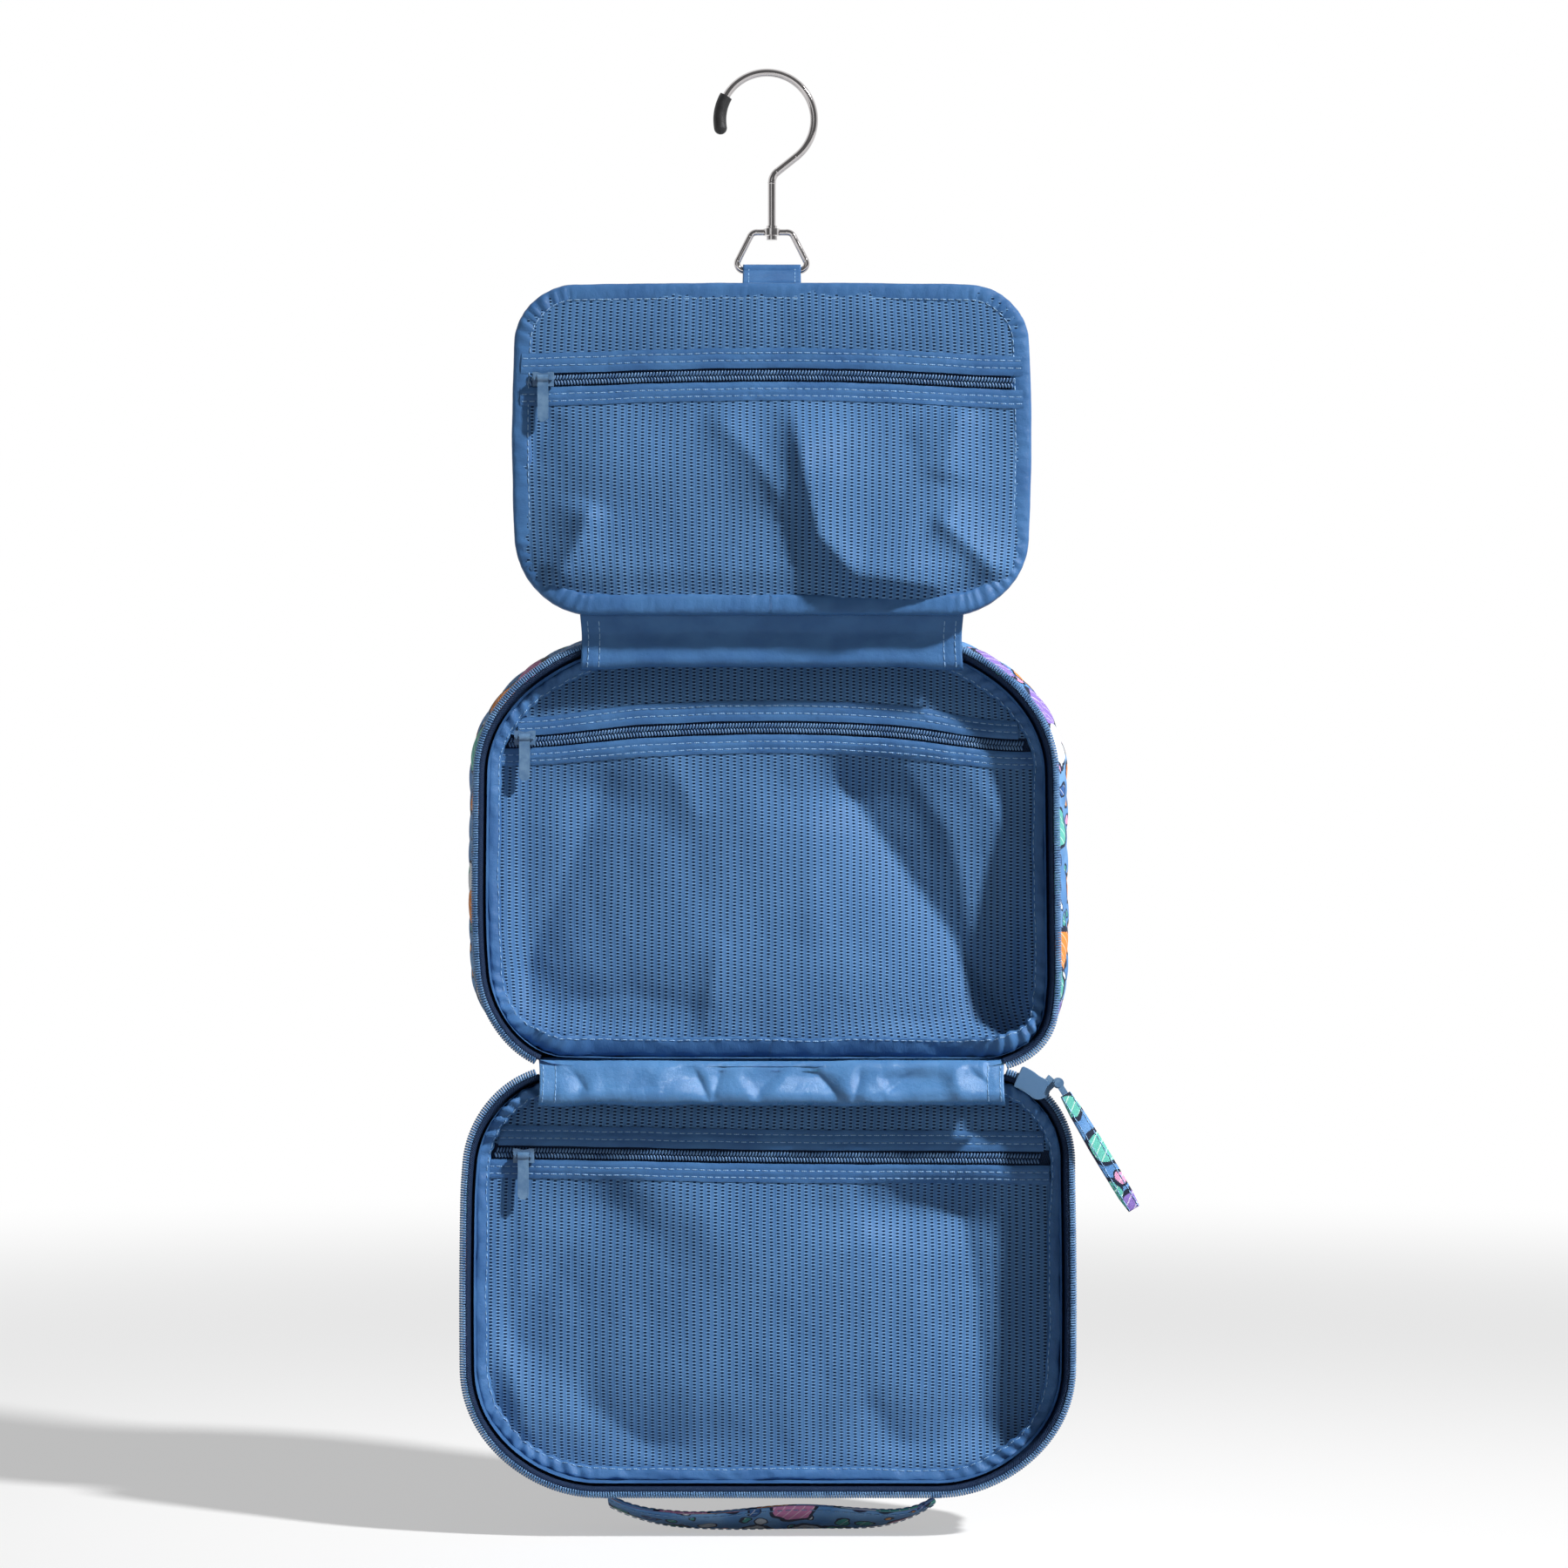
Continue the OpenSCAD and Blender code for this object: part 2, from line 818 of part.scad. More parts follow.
module middle_pocket_tape() {
  translate([0, rim_y, 0])
    zip_tape(middle_zip_z, recess)
      translate([0, middle_z])
        case_outline(well_in + 2.2, -1);
}

module middle_pocket_coil() {
  translate([0, rim_y, 0])
    zip_coil(middle_zip_z, recess)
      translate([0, middle_z])
        case_outline(well_in + piping_d + 0.6, -1);
}

module middle_slider() {
  translate([0, rim_y, 0])
    zip_slider(case_park, middle_zip_z, recess);
}

module middle_pull() {
  translate([0, rim_y, 0])
    zip_pull(case_park, middle_zip_z, recess);
}

module hinge_band() {
  color(c_lining)
    translate([0, rim_y, 0])
      along_x(hinge_w - 2) {
        translate([-band_t / 2, hinge_z - hinge_h])
          square([band_t, hinge_h]);
        translate([0, hinge_z])
          circle(0.6);
        translate([0, lower_top - wall_t + 0.4])
          square([half_gap, wall_t - 1]);
      }
}

module lower_back_panel() {
  case_back(lower_z, 1);
}

module lower_gusset() {
  case_gusset(lower_z, 1);
}

module lower_lining() {
  case_lining(lower_z, 1);
}

module lower_rim_tape() {
  case_rim_tape(lower_z, 1);
}

module lower_rim_coil() {
  case_rim_coil(lower_z, 1);
}

module lower_piping() {
  case_piping(lower_z, 1);
}

module lower_mesh_upper() {
  translate([0, rim_y, 0])
    zip_mesh(lower_zip_z, recess, 1)
      translate([0, lower_z])
        case_outline(well_in, 1);
}

module lower_mesh_lower() {
  translate([0, rim_y, 0])
    zip_mesh(lower_zip_z, recess, -1)
      translate([0, lower_z])
        case_outline(well_in, 1);
}

module lower_facing_upper() {
  translate([0, rim_y, 0])
    zip_facing(lower_zip_z, recess, 1)
      translate([0, lower_z])
        case_outline(well_in + piping_d + 0.6, 1);
}

module lower_facing_lower() {
  translate([0, rim_y, 0])
    zip_facing(lower_zip_z, recess, -1)
      translate([0, lower_z])
        case_outline(well_in + piping_d + 0.6, 1);
}

module lower_pocket_tape() {
  translate([0, rim_y, 0])
    zip_tape(lower_zip_z, recess)
      translate([0, lower_z])
        case_outline(well_in + 2.2, 1);
}

module lower_pocket_coil() {
  translate([0, rim_y, 0])
    zip_coil(lower_zip_z, recess)
      translate([0, lower_z])
        case_outline(well_in + piping_d + 0.6, 1);
}

module lower_slider() {
  translate([0, rim_y, 0])
    zip_slider(case_park, lower_zip_z, recess);
}

module lower_pull() {
  translate([0, rim_y, 0])
    zip_pull(case_park, lower_zip_z, recess);
}

module handle() {
  drop = handle_drop - (lower_bottom - handle_z);
  bow = min(8, drop - 0.5);
  taper = 14;
  color(c_print)
    translate([0, handle_y, handle_z]) {
      intersection() {
        slab(-handle_w / 2, handle_w / 2)
          difference() {
            panel(handle_span, 2 * drop, bow, bow);
            panel(handle_span - 2 * handle_t, 2 * (drop - handle_t), bow - handle_t, bow - handle_t);
            translate([-handle_span, 0])
              square([2 * handle_span, handle_span]);
          }
        translate([0, 0, -handle_span])
          linear_extrude(2 * handle_span)
            polygon([
              [-handle_span / 2, -knuckle_r],
              [-handle_span / 2 + taper, -handle_w / 2],
              [handle_span / 2 - taper, -handle_w / 2],
              [handle_span / 2, -knuckle_r],
              [handle_span / 2, knuckle_r],
              [handle_span / 2 - taper, handle_w / 2],
              [-handle_span / 2 + taper, handle_w / 2],
              [-handle_span / 2, knuckle_r]
            ]);
      }
      for (s = [-1, 1])
        translate([s * (handle_span / 2 - 3) - 3, 0, 0])
          rotate([0, 90, 0])
            cylinder(h = 6, r = knuckle_r);
    }
}

module handle_anchors() {
  color(c_print)
    for (s = [-1, 1])
      translate([s * (handle_span / 2 - 3) - 8, handle_y - handle_w / 2, lower_bottom - anchor_t])
        cube([16, handle_w, anchor_t]);
}

// Arc of a profile, drawn as radius and depth, about the parked slider's corner
module about_corner(a, sweep) {
  translate([corner_x, rim_y, lower_top - case_r])
    rotate([90, 0, 0])
      rotate([0, 0, 90 - a - sweep])
        rotate_extrude(angle = sweep)
          children();
}

module main_slider() {
  from = park_a - slider_arc / 2;
  color(c_metal) {
    intersection() {
      union() {
        about_corner(from, slider_arc)
          polygon([
            [plate_in, 0.5],
            [plate_out, 0.5],
            [plate_out, -coil_y1 - run - 0.9],
            [coil_in + 0.2, -coil_y1 - run - 0.9],
            [coil_in + 0.2, -coil_y1 - run],
            [coil_out + run, -coil_y1 - run],
            [coil_out + run, -0.5],
            [plate_in, -0.5]
          ]);
        about_corner(from + slider_arc - 2, pin_a - from - slider_arc + 2)
          translate([coil_out + run, -0.5])
            square([pin_rad - coil_out - run, 1]);
      }
      translate([corner_x - case_r, rim_y - 10, hinge_z - 2 * case_r])
        cube([4 * case_r, 40, 2 * case_r - run]);
    }
    translate([pin_x, rim_y + 0.5, pin_z])
      rotate([90, 0, 0])
        cylinder(h = 1, r = eye_out);
    translate([pin_x, rim_y - 0.4, pin_z])
      rotate([90, 0, 0])
        cylinder(h = pull_tab_t + 2 * run + 0.2, r = pin_r);
    translate([pin_x, rim_y - 0.5 - pull_tab_t - 2 * run, pin_z])
      rotate([90, 0, 0])
        cylinder(h = 0.7, r = pin_r + 0.7);
  }
}

// Places a front-view outline at the pull's pin, leaning with the pull
module at_pull() {
  translate([pin_x, rim_y - 0.5 - run - pull_tab_t, pin_z])
    rotate([0, -pull_lean, 0])
      slab(0, pull_tab_t)
        children();
}

module main_pull_link() {
  color(c_metal)
    at_pull()
      difference() {
        union() {
          circle(eye_out);
          translate([-1.3, -7])
            square([2.6, 7]);
        }
        circle(pin_r + pin_gap);
      }
}

module main_pull_tab() {
  color(c_print)
    at_pull()
      union() {
        translate([-pull_tab_w / 2, -7 - pull_tab_len + 1.5])
          square([pull_tab_w, pull_tab_len - 1.5]);
        translate([-pull_tab_w / 2 + 1.5, -7 - pull_tab_len])
          square([pull_tab_w - 3, pull_tab_len]);
        for (s = [-1, 1])
          translate([s * (pull_tab_w / 2 - 1.5), -7 - pull_tab_len + 1.5])
            circle(1.5);
      }
}

hook();
hook_tip();
hook_rivet();
swivel_collar();
ring();
hung() hanger_tab();
hung() flap_outer_panel();
hung() flap_lining();
hung() flap_binding();
hung() flap_mesh_upper();
hung() flap_mesh_lower();
hung() flap_facing_upper();
hung() flap_facing_lower();
hung() flap_pocket_tape();
hung() flap_pocket_coil();
hung() flap_slider();
hung() flap_pull();
hung() bridge_band();
hung() bridge_hem();
hung() middle_back_panel();
hung() middle_gusset();
hung() middle_lining();
hung() middle_rim_tape();
hung() middle_rim_coil();
hung() middle_piping();
hung() middle_mesh_upper();
hung() middle_mesh_lower();
hung() middle_facing_upper();
hung() middle_facing_lower();
hung() middle_pocket_tape();
hung() middle_pocket_coil();
hung() middle_slider();
hung() middle_pull();
hung() hinge_band();
hung() lower_back_panel();
hung() lower_gusset();
hung() lower_lining();
hung() lower_rim_tape();
hung() lower_rim_coil();
hung() lower_piping();
hung() lower_mesh_upper();
hung() lower_mesh_lower();
hung() lower_facing_upper();
hung() lower_facing_lower();
hung() lower_pocket_tape();
hung() lower_pocket_coil();
hung() lower_slider();
hung() lower_pull();
hung() handle();
hung() handle_anchors();
hung() main_slider();
hung() main_pull_link();
hung() main_pull_tab();
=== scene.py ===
"""Looks of a hanging toiletry bag: printed quilted cases, satin lining, pinhole mesh pockets and coil zips."""

import json
import math

import bmesh
import bpy
import numpy as np
from mathutils import Matrix, Vector, noise


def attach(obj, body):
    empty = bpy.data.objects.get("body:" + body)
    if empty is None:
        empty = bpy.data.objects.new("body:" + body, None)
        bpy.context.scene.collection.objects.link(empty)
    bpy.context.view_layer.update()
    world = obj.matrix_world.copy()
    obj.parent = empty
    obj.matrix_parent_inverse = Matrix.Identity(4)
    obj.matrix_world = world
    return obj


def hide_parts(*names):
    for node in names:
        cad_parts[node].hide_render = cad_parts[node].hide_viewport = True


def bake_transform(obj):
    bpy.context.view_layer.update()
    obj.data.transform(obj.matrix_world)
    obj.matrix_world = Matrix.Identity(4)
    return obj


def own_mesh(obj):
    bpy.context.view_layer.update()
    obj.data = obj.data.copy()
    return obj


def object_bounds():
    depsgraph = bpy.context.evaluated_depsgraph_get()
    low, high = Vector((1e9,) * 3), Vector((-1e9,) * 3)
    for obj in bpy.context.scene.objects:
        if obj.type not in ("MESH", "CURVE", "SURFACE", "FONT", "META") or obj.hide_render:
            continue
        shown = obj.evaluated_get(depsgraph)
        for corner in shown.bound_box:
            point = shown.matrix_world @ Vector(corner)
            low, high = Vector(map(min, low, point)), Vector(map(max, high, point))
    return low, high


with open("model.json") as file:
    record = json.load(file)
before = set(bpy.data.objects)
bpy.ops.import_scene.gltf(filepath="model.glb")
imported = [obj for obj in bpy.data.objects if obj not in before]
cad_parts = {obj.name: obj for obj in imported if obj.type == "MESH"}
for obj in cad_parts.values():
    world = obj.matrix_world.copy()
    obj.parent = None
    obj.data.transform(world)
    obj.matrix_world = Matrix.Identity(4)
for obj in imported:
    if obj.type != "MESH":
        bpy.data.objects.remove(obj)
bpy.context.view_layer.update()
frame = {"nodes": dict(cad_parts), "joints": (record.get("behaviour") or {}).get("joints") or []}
scene = bpy.context.scene
MM = 0.001
TURN = 2 * math.pi

# The bag hangs with a slight lean about the ring's lower bar. Every soft piece is worked out upright,
# in millimetres as (across, behind the rim plane, up), and leaned as it is made.
joints = {j["name"]: j for j in frame["joints"]}
RING = Vector(joints["ring_swing"]["pos_m"])
ZIP_AXIS = joints["main_zip"]["axis"]
LEAN = math.atan2(-ZIP_AXIS[2], ZIP_AXIS[1])
HANG = Matrix.Translation(RING) @ Matrix.Rotation(-LEAN, 4, "X") @ Matrix.Translation(-RING)
UPRIGHT = HANG.inverted()


def upright(joint):
    """Where a joint lies in the bag's own upright frame."""
    return np.array(UPRIGHT @ Vector(joints[joint]["pos_m"])) / MM


_, RIM, FOLD_Z = upright("flap_fold")
HINGE_Z = upright("lower_fold")[2]
CORNER = upright("main_zip")
PIN = upright("main_pull_hinge")


def bag(node):
    """Lowest and highest corners of a CAD node in the bag's own upright frame."""
    turn = np.array(UPRIGHT)
    pts = np.array([v.co for v in frame["nodes"][node].data.vertices])
    pts = (pts @ turn[:3, :3].T + turn[:3, 3]) / MM
    pts[:, 1] -= RIM
    return pts.min(0), pts.max(0)


def zip_height(tag):
    return float(np.mean([corner[2] for corner in bag(f"{tag}_pocket_coil")]))


def place(points):
    """Metres in the shared frame from points in the bag's own frame."""
    pts = np.array(points, float).reshape(-1, 3)
    pts[:, 1] += RIM
    turn = np.array(HANG)
    return pts * MM @ turn[:3, :3].T + turn[:3, 3]


def smooth(a, b, x):
    t = np.clip((np.asarray(x, float) - a) / (b - a), 0, 1)
    return t * t * (3 - 2 * t)


def bell(x, centre, width):
    return np.exp(-(((x - centre) / width) ** 2))


def arch(x, reach):
    """1 in the middle, falling to 0 at each end: the bow of a zip row."""
    return (1 - np.clip(np.abs(x) / reach, 0, 1) ** 2) ** 1.5


def squarish(wave, power):
    """A sine or cosine with its sides filled out."""
    return np.sign(wave) * np.abs(wave) ** power


def unit(v):
    return v / np.linalg.norm(v, axis=-1, keepdims=True)


def run_length(points):
    """Length along a line of points, from 0 at its first."""
    return np.concatenate([[0], np.cumsum(np.linalg.norm(np.diff(points, axis=0), axis=-1))])


def grid(a, b):
    return np.meshgrid(a, b, indexing="ij")


def circle(count):
    return np.arange(count) * TURN / count


def rough(x, y, z=0.0):
    """Smooth seeded noise from -1 to 1 at each point."""
    x, y, z = np.broadcast_arrays(np.asarray(x, float), y, z)
    flat = [noise.noise((a, b, c)) for a, b, c in zip(x.ravel(), y.ravel(), z.ravel())]
    return np.array(flat).reshape(x.shape)


def fold(x, z, points, rise, left, right, crisp=1.6):
    """A crease along a bent line, falling off over its own width on each side, looking along it.

    A width below 0 makes that side a flat facet.
    """
    points = np.asarray(points, float)
    lengths = np.hypot(*np.diff(points, axis=0).T)
    best, side, where = np.full(np.shape(x), 1e9), np.zeros(np.shape(x)), np.zeros(np.shape(x))
    for k, ((ax, az), (bx, bz)) in enumerate(zip(points[:-1], points[1:])):
        dx, dz = (bx - ax) / lengths[k], (bz - az) / lengths[k]
        along = (x - ax) * dx + (z - az) * dz
        off = (x - ax) * dz - (z - az) * dx
        clipped = np.clip(along, 0, lengths[k])
        away = np.hypot(along - clipped, off)
        near = away < best
        best, side = np.where(near, away, best), np.where(near, off, side)
        where = np.where(near, (lengths[:k].sum() + clipped) / lengths.sum(), where)
    span = np.where(side > 0, right, left)
    ends = smooth(-0.02, 0.22, where) * smooth(1.02, 0.8, where)
    reach = (np.sqrt(best ** 2 + crisp ** 2) - crisp) / np.abs(span)
    return rise * ends * np.where(span < 0, np.clip(1 - reach, 0, 1), np.exp(-reach))


def folded(x, z, lines):
    """The sum of some folds, each given by its line, its rise and its two widths."""
    return sum(fold(x, z, *line) for line in lines)


# Materials

def rgb(*levels):
    """A linear colour from 8-bit display levels."""
    shares = [level / 255 for level in levels]
    return tuple(c / 12.92 if c <= 0.04045 else ((c + 0.055) / 1.055) ** 2.4 for c in shares) + (1,)


def put(tree, socket, value):
    """Links a socket to another node's output, or sets it to a value."""
    if isinstance(value, bpy.types.NodeSocket):
        tree.links.new(value, socket)
    else:
        socket.default_value = value


def new_node(tree, kind, ins=(), **props):
    node = tree.nodes.new("ShaderNode" + kind)
    for key, value in props.items():
        setattr(node, key, value)
    for key, value in dict(ins).items():
        put(tree, node.inputs[key], value)
    return node


class Look:
    """A node material with one Principled shader and short calls for its maths."""

    def __init__(self, name, **sockets):
        self.mat = bpy.data.materials.new(name)
        self.mat.use_nodes = True
        self.tree = self.mat.node_tree
        self.shader = self.tree.nodes["Principled BSDF"]
        self.set(**sockets)

    def set(self, **sockets):
        for key, value in sockets.items():
            put(self.tree, self.shader.inputs[key.replace("_", " ").title().replace("Ior", "IOR")], value)

    def done(self, colour, roughness, normal):
        self.set(base_color=colour, roughness=roughness, normal=normal)
        return self.mat

    def node(self, kind, ins=(), **props):
        return new_node(self.tree, kind, ins, **props)

    def math(self, op, a, b=0.0):
        return self.node("Math", {0: a, 1: b}, operation=op).outputs[0]

    def mul(self, a, b):
        return self.math("MULTIPLY", a, b)

    def add(self, a, b):
        return self.math("ADD", a, b)

    def sub(self, a, b):
        return self.math("SUBTRACT", a, b)

    def step(self, value, a, b, low=0.0, high=1.0):
        ins = {"Value": value, "From Min": a, "From Max": b, "To Min": low, "To Max": high}
        return self.node("MapRange", ins, interpolation_type="SMOOTHSTEP").outputs["Result"]

    def mix(self, share, a, b):
        return self.node("Mix", {"Factor": share, 6: a, 7: b}, data_type="RGBA").outputs[2]

    def noise(self, vector, scale, detail=2.0, rough=0.5):
        ins = {"Vector": vector, "Scale": scale, "Detail": detail, "Roughness": rough}
        return self.node("TexNoise", ins).outputs["Fac"]

    def uv(self):
        """Millimetres along the cloth."""
        vec = self.node("UVMap").outputs[0]
        split = self.node("SeparateXYZ", {0: vec})
        return split.outputs[0], split.outputs[1], vec

    def weave(self, u, v, threads):
        """A plain weave, from its threads in radians a millimetre."""
        return self.mul(self.math("SINE", self.mul(u, threads)), self.math("SINE", self.mul(v, threads)))

    def from_middle(self, cell, pitch):
        """Distance from the middle of each repeat."""
        return self.mul(self.math("ABSOLUTE", self.sub(self.math("FRACT", cell), 0.5)), pitch)

    def bump(self, height, distance, strength=1.0, after=None):
        ins = {"Height": height, "Distance": distance, "Strength": strength}
        if after is not None:
            ins["Normal"] = after
        return self.node("Bump", ins).outputs[0]


def satin(name, base, deep, shine=0.36, spec=0.14):
    """Smooth nylon lining: a fine plain weave, soft creases and a satin sheen."""
    look = Look(name, specular_ior_level=spec)
    u, v, vec = look.uv()
    cloud = look.noise(vec, 0.05, 3.0)
    crinkle = look.noise(vec, 0.16, 4.0, 0.62)
    normal = look.bump(crinkle, 0.0011, 0.5)
    normal = look.bump(look.weave(u, v, 15.0), 0.00004, 0.5, normal)
    colour = look.mix(look.step(cloud, 0.3, 0.7), rgb(*deep), rgb(*base))
    roughness = look.step(crinkle, 0.3, 0.7, shine - 0.06, shine + 0.08)
    return look.done(colour, roughness, normal)


def pinhole_mesh():
    """Warp-knit pocket cloth: columns of pinholes painted near black as the shade seen through them, with cross
    threads between them painted lighter as highlights.
    """
    column_pitch, row_pitch = 2.95, 1.4
    look = Look("pinhole_mesh", specular_ior_level=0.06)
    u, v, vec = look.uv()
    wander = look.mul(look.sub(look.noise(vec, 0.04, 1.0), 0.5), 0.9)
    column = look.math("DIVIDE", look.add(u, wander), column_pitch)
    row = look.add(look.math("DIVIDE", v, row_pitch), look.mul(look.math("FLOOR", column), 0.37))
    side, rise = look.from_middle(column, column_pitch), look.from_middle(row, row_pitch)
    hole_and_shade = look.mul(look.step(side, 0.72, 0.48), look.step(rise, 0.43, 0.25))
    rung_and_highlight = look.mul(look.step(side, 1.0, 0.66), look.step(rise, 0.4, 0.56))
    rib = look.step(side, 0.9, 1.4)
    cloud = look.noise(vec, 0.03, 3.0)
    grain = look.noise(vec, 1.1, 2.0)
    cloth = look.mix(look.step(cloud, 0.25, 0.75), rgb(66, 104, 149), rgb(73, 112, 157))
    cloth = look.mix(look.mul(look.step(grain, 0.4, 0.7), 0.3), cloth, rgb(58, 96, 141))
    # The cross threads are painted lighter: painted highlight where light catches the raised threads.
    cloth = look.mix(look.mul(rung_and_highlight, 0.75), cloth, rgb(112, 153, 196))
    # The holes are painted near black: painted shade seen through them into the pocket.
    colour = look.mix(look.mul(hole_and_shade, 0.96), cloth, rgb(9, 21, 44))
    height = look.sub(look.add(look.mul(rib, 0.4), look.mul(rung_and_highlight, 0.5)), hole_and_shade)
    normal = look.bump(look.noise(vec, 0.11, 3.0), 0.0016, 0.35)
    normal = look.bump(height, 0.00022, 0.55, normal)
    return look.done(colour, look.step(hole_and_shade, 0, 1, 0.46, 0.8), normal)


def twill(name, base, deep):
    """Woven zip tape and thread: a steep fine rib, its grooves painted darker as shade."""
    look = Look(name, specular_ior_level=0.14)
    u, v, vec = look.uv()
    rib = look.math("SINE", look.add(look.mul(u, 7.5), look.mul(v, 3.0)))
    cloud = look.noise(vec, 0.4, 3.0)
    # Colour follows the rib: its grooves are painted darker, as painted shade.
    colour = look.mix(look.step(rib, -1, 1), rgb(*deep), rgb(*base))
    colour = look.mix(look.mul(cloud, 0.4), colour, rgb(*deep))
    return look.done(colour, look.step(cloud, 0.3, 0.7, 0.6, 0.78), look.bump(rib, 0.00012, 0.6))


def hard(name, base, worn_and_lit, low, high, scale, metal=0.0, depth=0.00005, spec=0.5):
    """Moulded, enamelled or plated metal and plastic: fine unevenness and handling marks, with edges lightened
    partly as rubbed paint and plating and partly as painted highlights.
    """
    look = Look(name, metallic=metal, specular_ior_level=spec)
    vec = look.node("TexCoord").outputs["Object"]
    cloud = look.noise(vec, scale, 4.0, 0.6)
    fine = look.noise(vec, scale * 9, 2.0)
    edge = look.step(look.node("NewGeometry").outputs["Pointiness"], 0.51, 0.58)
    # Lightened edges: partly rubbed material, partly painted highlights on edges and coil beads.
    wear_and_highlight = look.mul(edge, look.step(cloud, 0.35, 0.7))
    colour = look.mix(look.mul(cloud, 0.25), rgb(*base), rgb(*worn_and_lit))
    colour = look.mix(look.mul(wear_and_highlight, 0.6), colour, rgb(*worn_and_lit))
    return look.done(colour, look.step(cloud, 0.3, 0.7, low, high), look.bump(fine, depth, 0.4))


# Scale, seed and size of the print's small and large pebbles, and the share from which each colour runs
PEBBLES = (
    (0.095, 41.0, 0.27, (
        (0, (214, 222, 230)), (0.14, (234, 160, 74)), (0.4, (70, 152, 146)),
        (0.66, (212, 150, 186)), (0.82, (52, 92, 150)),
    )),
    (0.043, 3.0, 0.47, (
        (0, (226, 138, 52)), (0.3, (96, 182, 166)), (0.56, (206, 132, 178)),
        (0.7, (138, 112, 188)), (0.9, (222, 228, 234)),
    )),
)


def printed_quilt():
    """Quilted cloth printed with loose outlined and hatched pebbles on blue."""
    look = Look("printed_quilt", specular_ior_level=0.12)
    u, v, vec = look.uv()
    wob = look.node("TexNoise", {"Vector": vec, "Scale": 0.09, "Detail": 2.0}).outputs["Color"]
    shift = look.node("VectorMath", {0: wob, 1: (0.5, 0.5, 0.5)}, operation="SUBTRACT").outputs[0]
    bent_vec = look.node("VectorMath", {0: shift, 1: (9, 9, 0), 2: vec}, operation="MULTIPLY_ADD").outputs[0]

    def cells(scale, seed):
        moved = look.node("VectorMath", {0: bent_vec, 1: (seed, seed * 0.7, 0)}, operation="ADD").outputs[0]
        ins = {"Vector": moved, "Scale": scale, "Randomness": 0.85}
        return look.node("TexVoronoi", ins, voronoi_dimensions="2D")

    def ramp(value, stops):
        n = look.node("ValToRGB", {0: value})
        n.color_ramp.interpolation = "CONSTANT"
        for i, (at, colour) in enumerate(stops):
            e = n.color_ramp.elements[i] if i < 2 else n.color_ramp.elements.new(at)
            e.position, e.color = at, rgb(*colour)
        return n.outputs[0]

    hatch = look.mul(look.add(u, look.mul(v, 0.7)), 1.5)
    vein = look.step(look.math("SINE", hatch), 0.86, 0.97)
    cloud = look.step(look.noise(vec, 0.05, 2.0), 0.35, 0.65)
    colour = look.mix(cloud, rgb(84, 132, 186), rgb(116, 160, 206))
    for scale, seed, radius, stops in PEBBLES:
        cell = cells(scale, seed)
        pick = look.node("SeparateColor", {0: cell.outputs["Color"]})
        size = look.step(pick.outputs[1], 0, 1, radius * 0.5, radius)
        edge = look.sub(cell.outputs["Distance"], size)
        inside = look.step(edge, 0.006, -0.006)
        line = look.mul(look.step(edge, 0.075, 0.055), look.step(edge, -0.03, -0.01))
        fill = look.mix(look.mul(vein, 0.45), ramp(pick.outputs[0], stops), rgb(250, 250, 246))
        colour = look.mix(inside, colour, fill)
        colour = look.mix(line, colour, rgb(26, 30, 44))
    fuzz = look.noise(vec, 1.6, 3.0)
    colour = look.mix(look.mul(fuzz, 0.16), colour, rgb(70, 96, 140))
    normal = look.bump(look.noise(vec, 0.2, 3.0), 0.0009, 0.4)
    normal = look.bump(look.weave(u, v, 11.0), 0.00006, 0.5, normal)
    return look.done(colour, look.step(fuzz, 0.3, 0.7, 0.55, 0.7), normal)


LOOKS = {
    "satin_lining": satin("satin_lining", (66, 108, 156), (55, 94, 142)),
    # A lighter copy of the satin lining for the hinge band: painted light where the band catches the lamp.
    "highlit_satin": satin("highlit_satin", (80, 127, 176), (68, 113, 162), 0.3, 0.3),
    "pinhole_mesh": pinhole_mesh(),
    "zip_tape": twill("zip_tape", (29, 50, 81), (17, 32, 57)),
    # The coil's lighter edge colour is painted highlight on its beads; the rim teeth are a lighter copy of the
    # coil, painted as lit.
    "zip_coil": hard("zip_coil", (56, 91, 135), (100, 138, 178), 0.3, 0.44, 160.0),
    "highlit_rim_teeth": hard("highlit_rim_teeth", (66, 102, 146), (112, 150, 188), 0.3, 0.44, 160.0, spec=0.2),
    "thread": twill("thread", (152, 188, 222), (112, 150, 190)),
    "enamelled_metal": hard("enamelled_metal", (66, 101, 138), (108, 140, 170), 0.28, 0.42, 220.0),
    "chrome_wire": hard(
        "chrome_wire", (196, 192, 192), (220, 218, 218), 0.06, 0.16, 240.0, metal=1.0, depth=0.00001
    ),
    "black_rubber": hard("black_rubber", (20, 20, 22), (44, 44, 48), 0.42, 0.6, 300.0, depth=0.00012),
    "printed_quilt": printed_quilt(),
}


# Mesh building

def add_object(name, data):
    obj = bpy.data.objects.new(name, data)
    scene.collection.objects.link(obj)
    return obj


def grid_faces(n, m, wrap_n=False, wrap_m=False):
    i, j = grid(np.arange(n if wrap_n else n - 1), np.arange(m if wrap_m else m - 1))
    a, b = i * m + j, ((i + 1) % n) * m + j
    c, d = ((i + 1) % n) * m + (j + 1) % m, i * m + (j + 1) % m
    return np.stack([a, b, c, d], -1).reshape(-1, 4).tolist()


def tube_faces(n, m):
    """Faces of n rings of m points, with both ends closed."""
    return grid_faces(n, m, wrap_m=True) + [list(range(m)), list(range((n - 1) * m, n * m))]


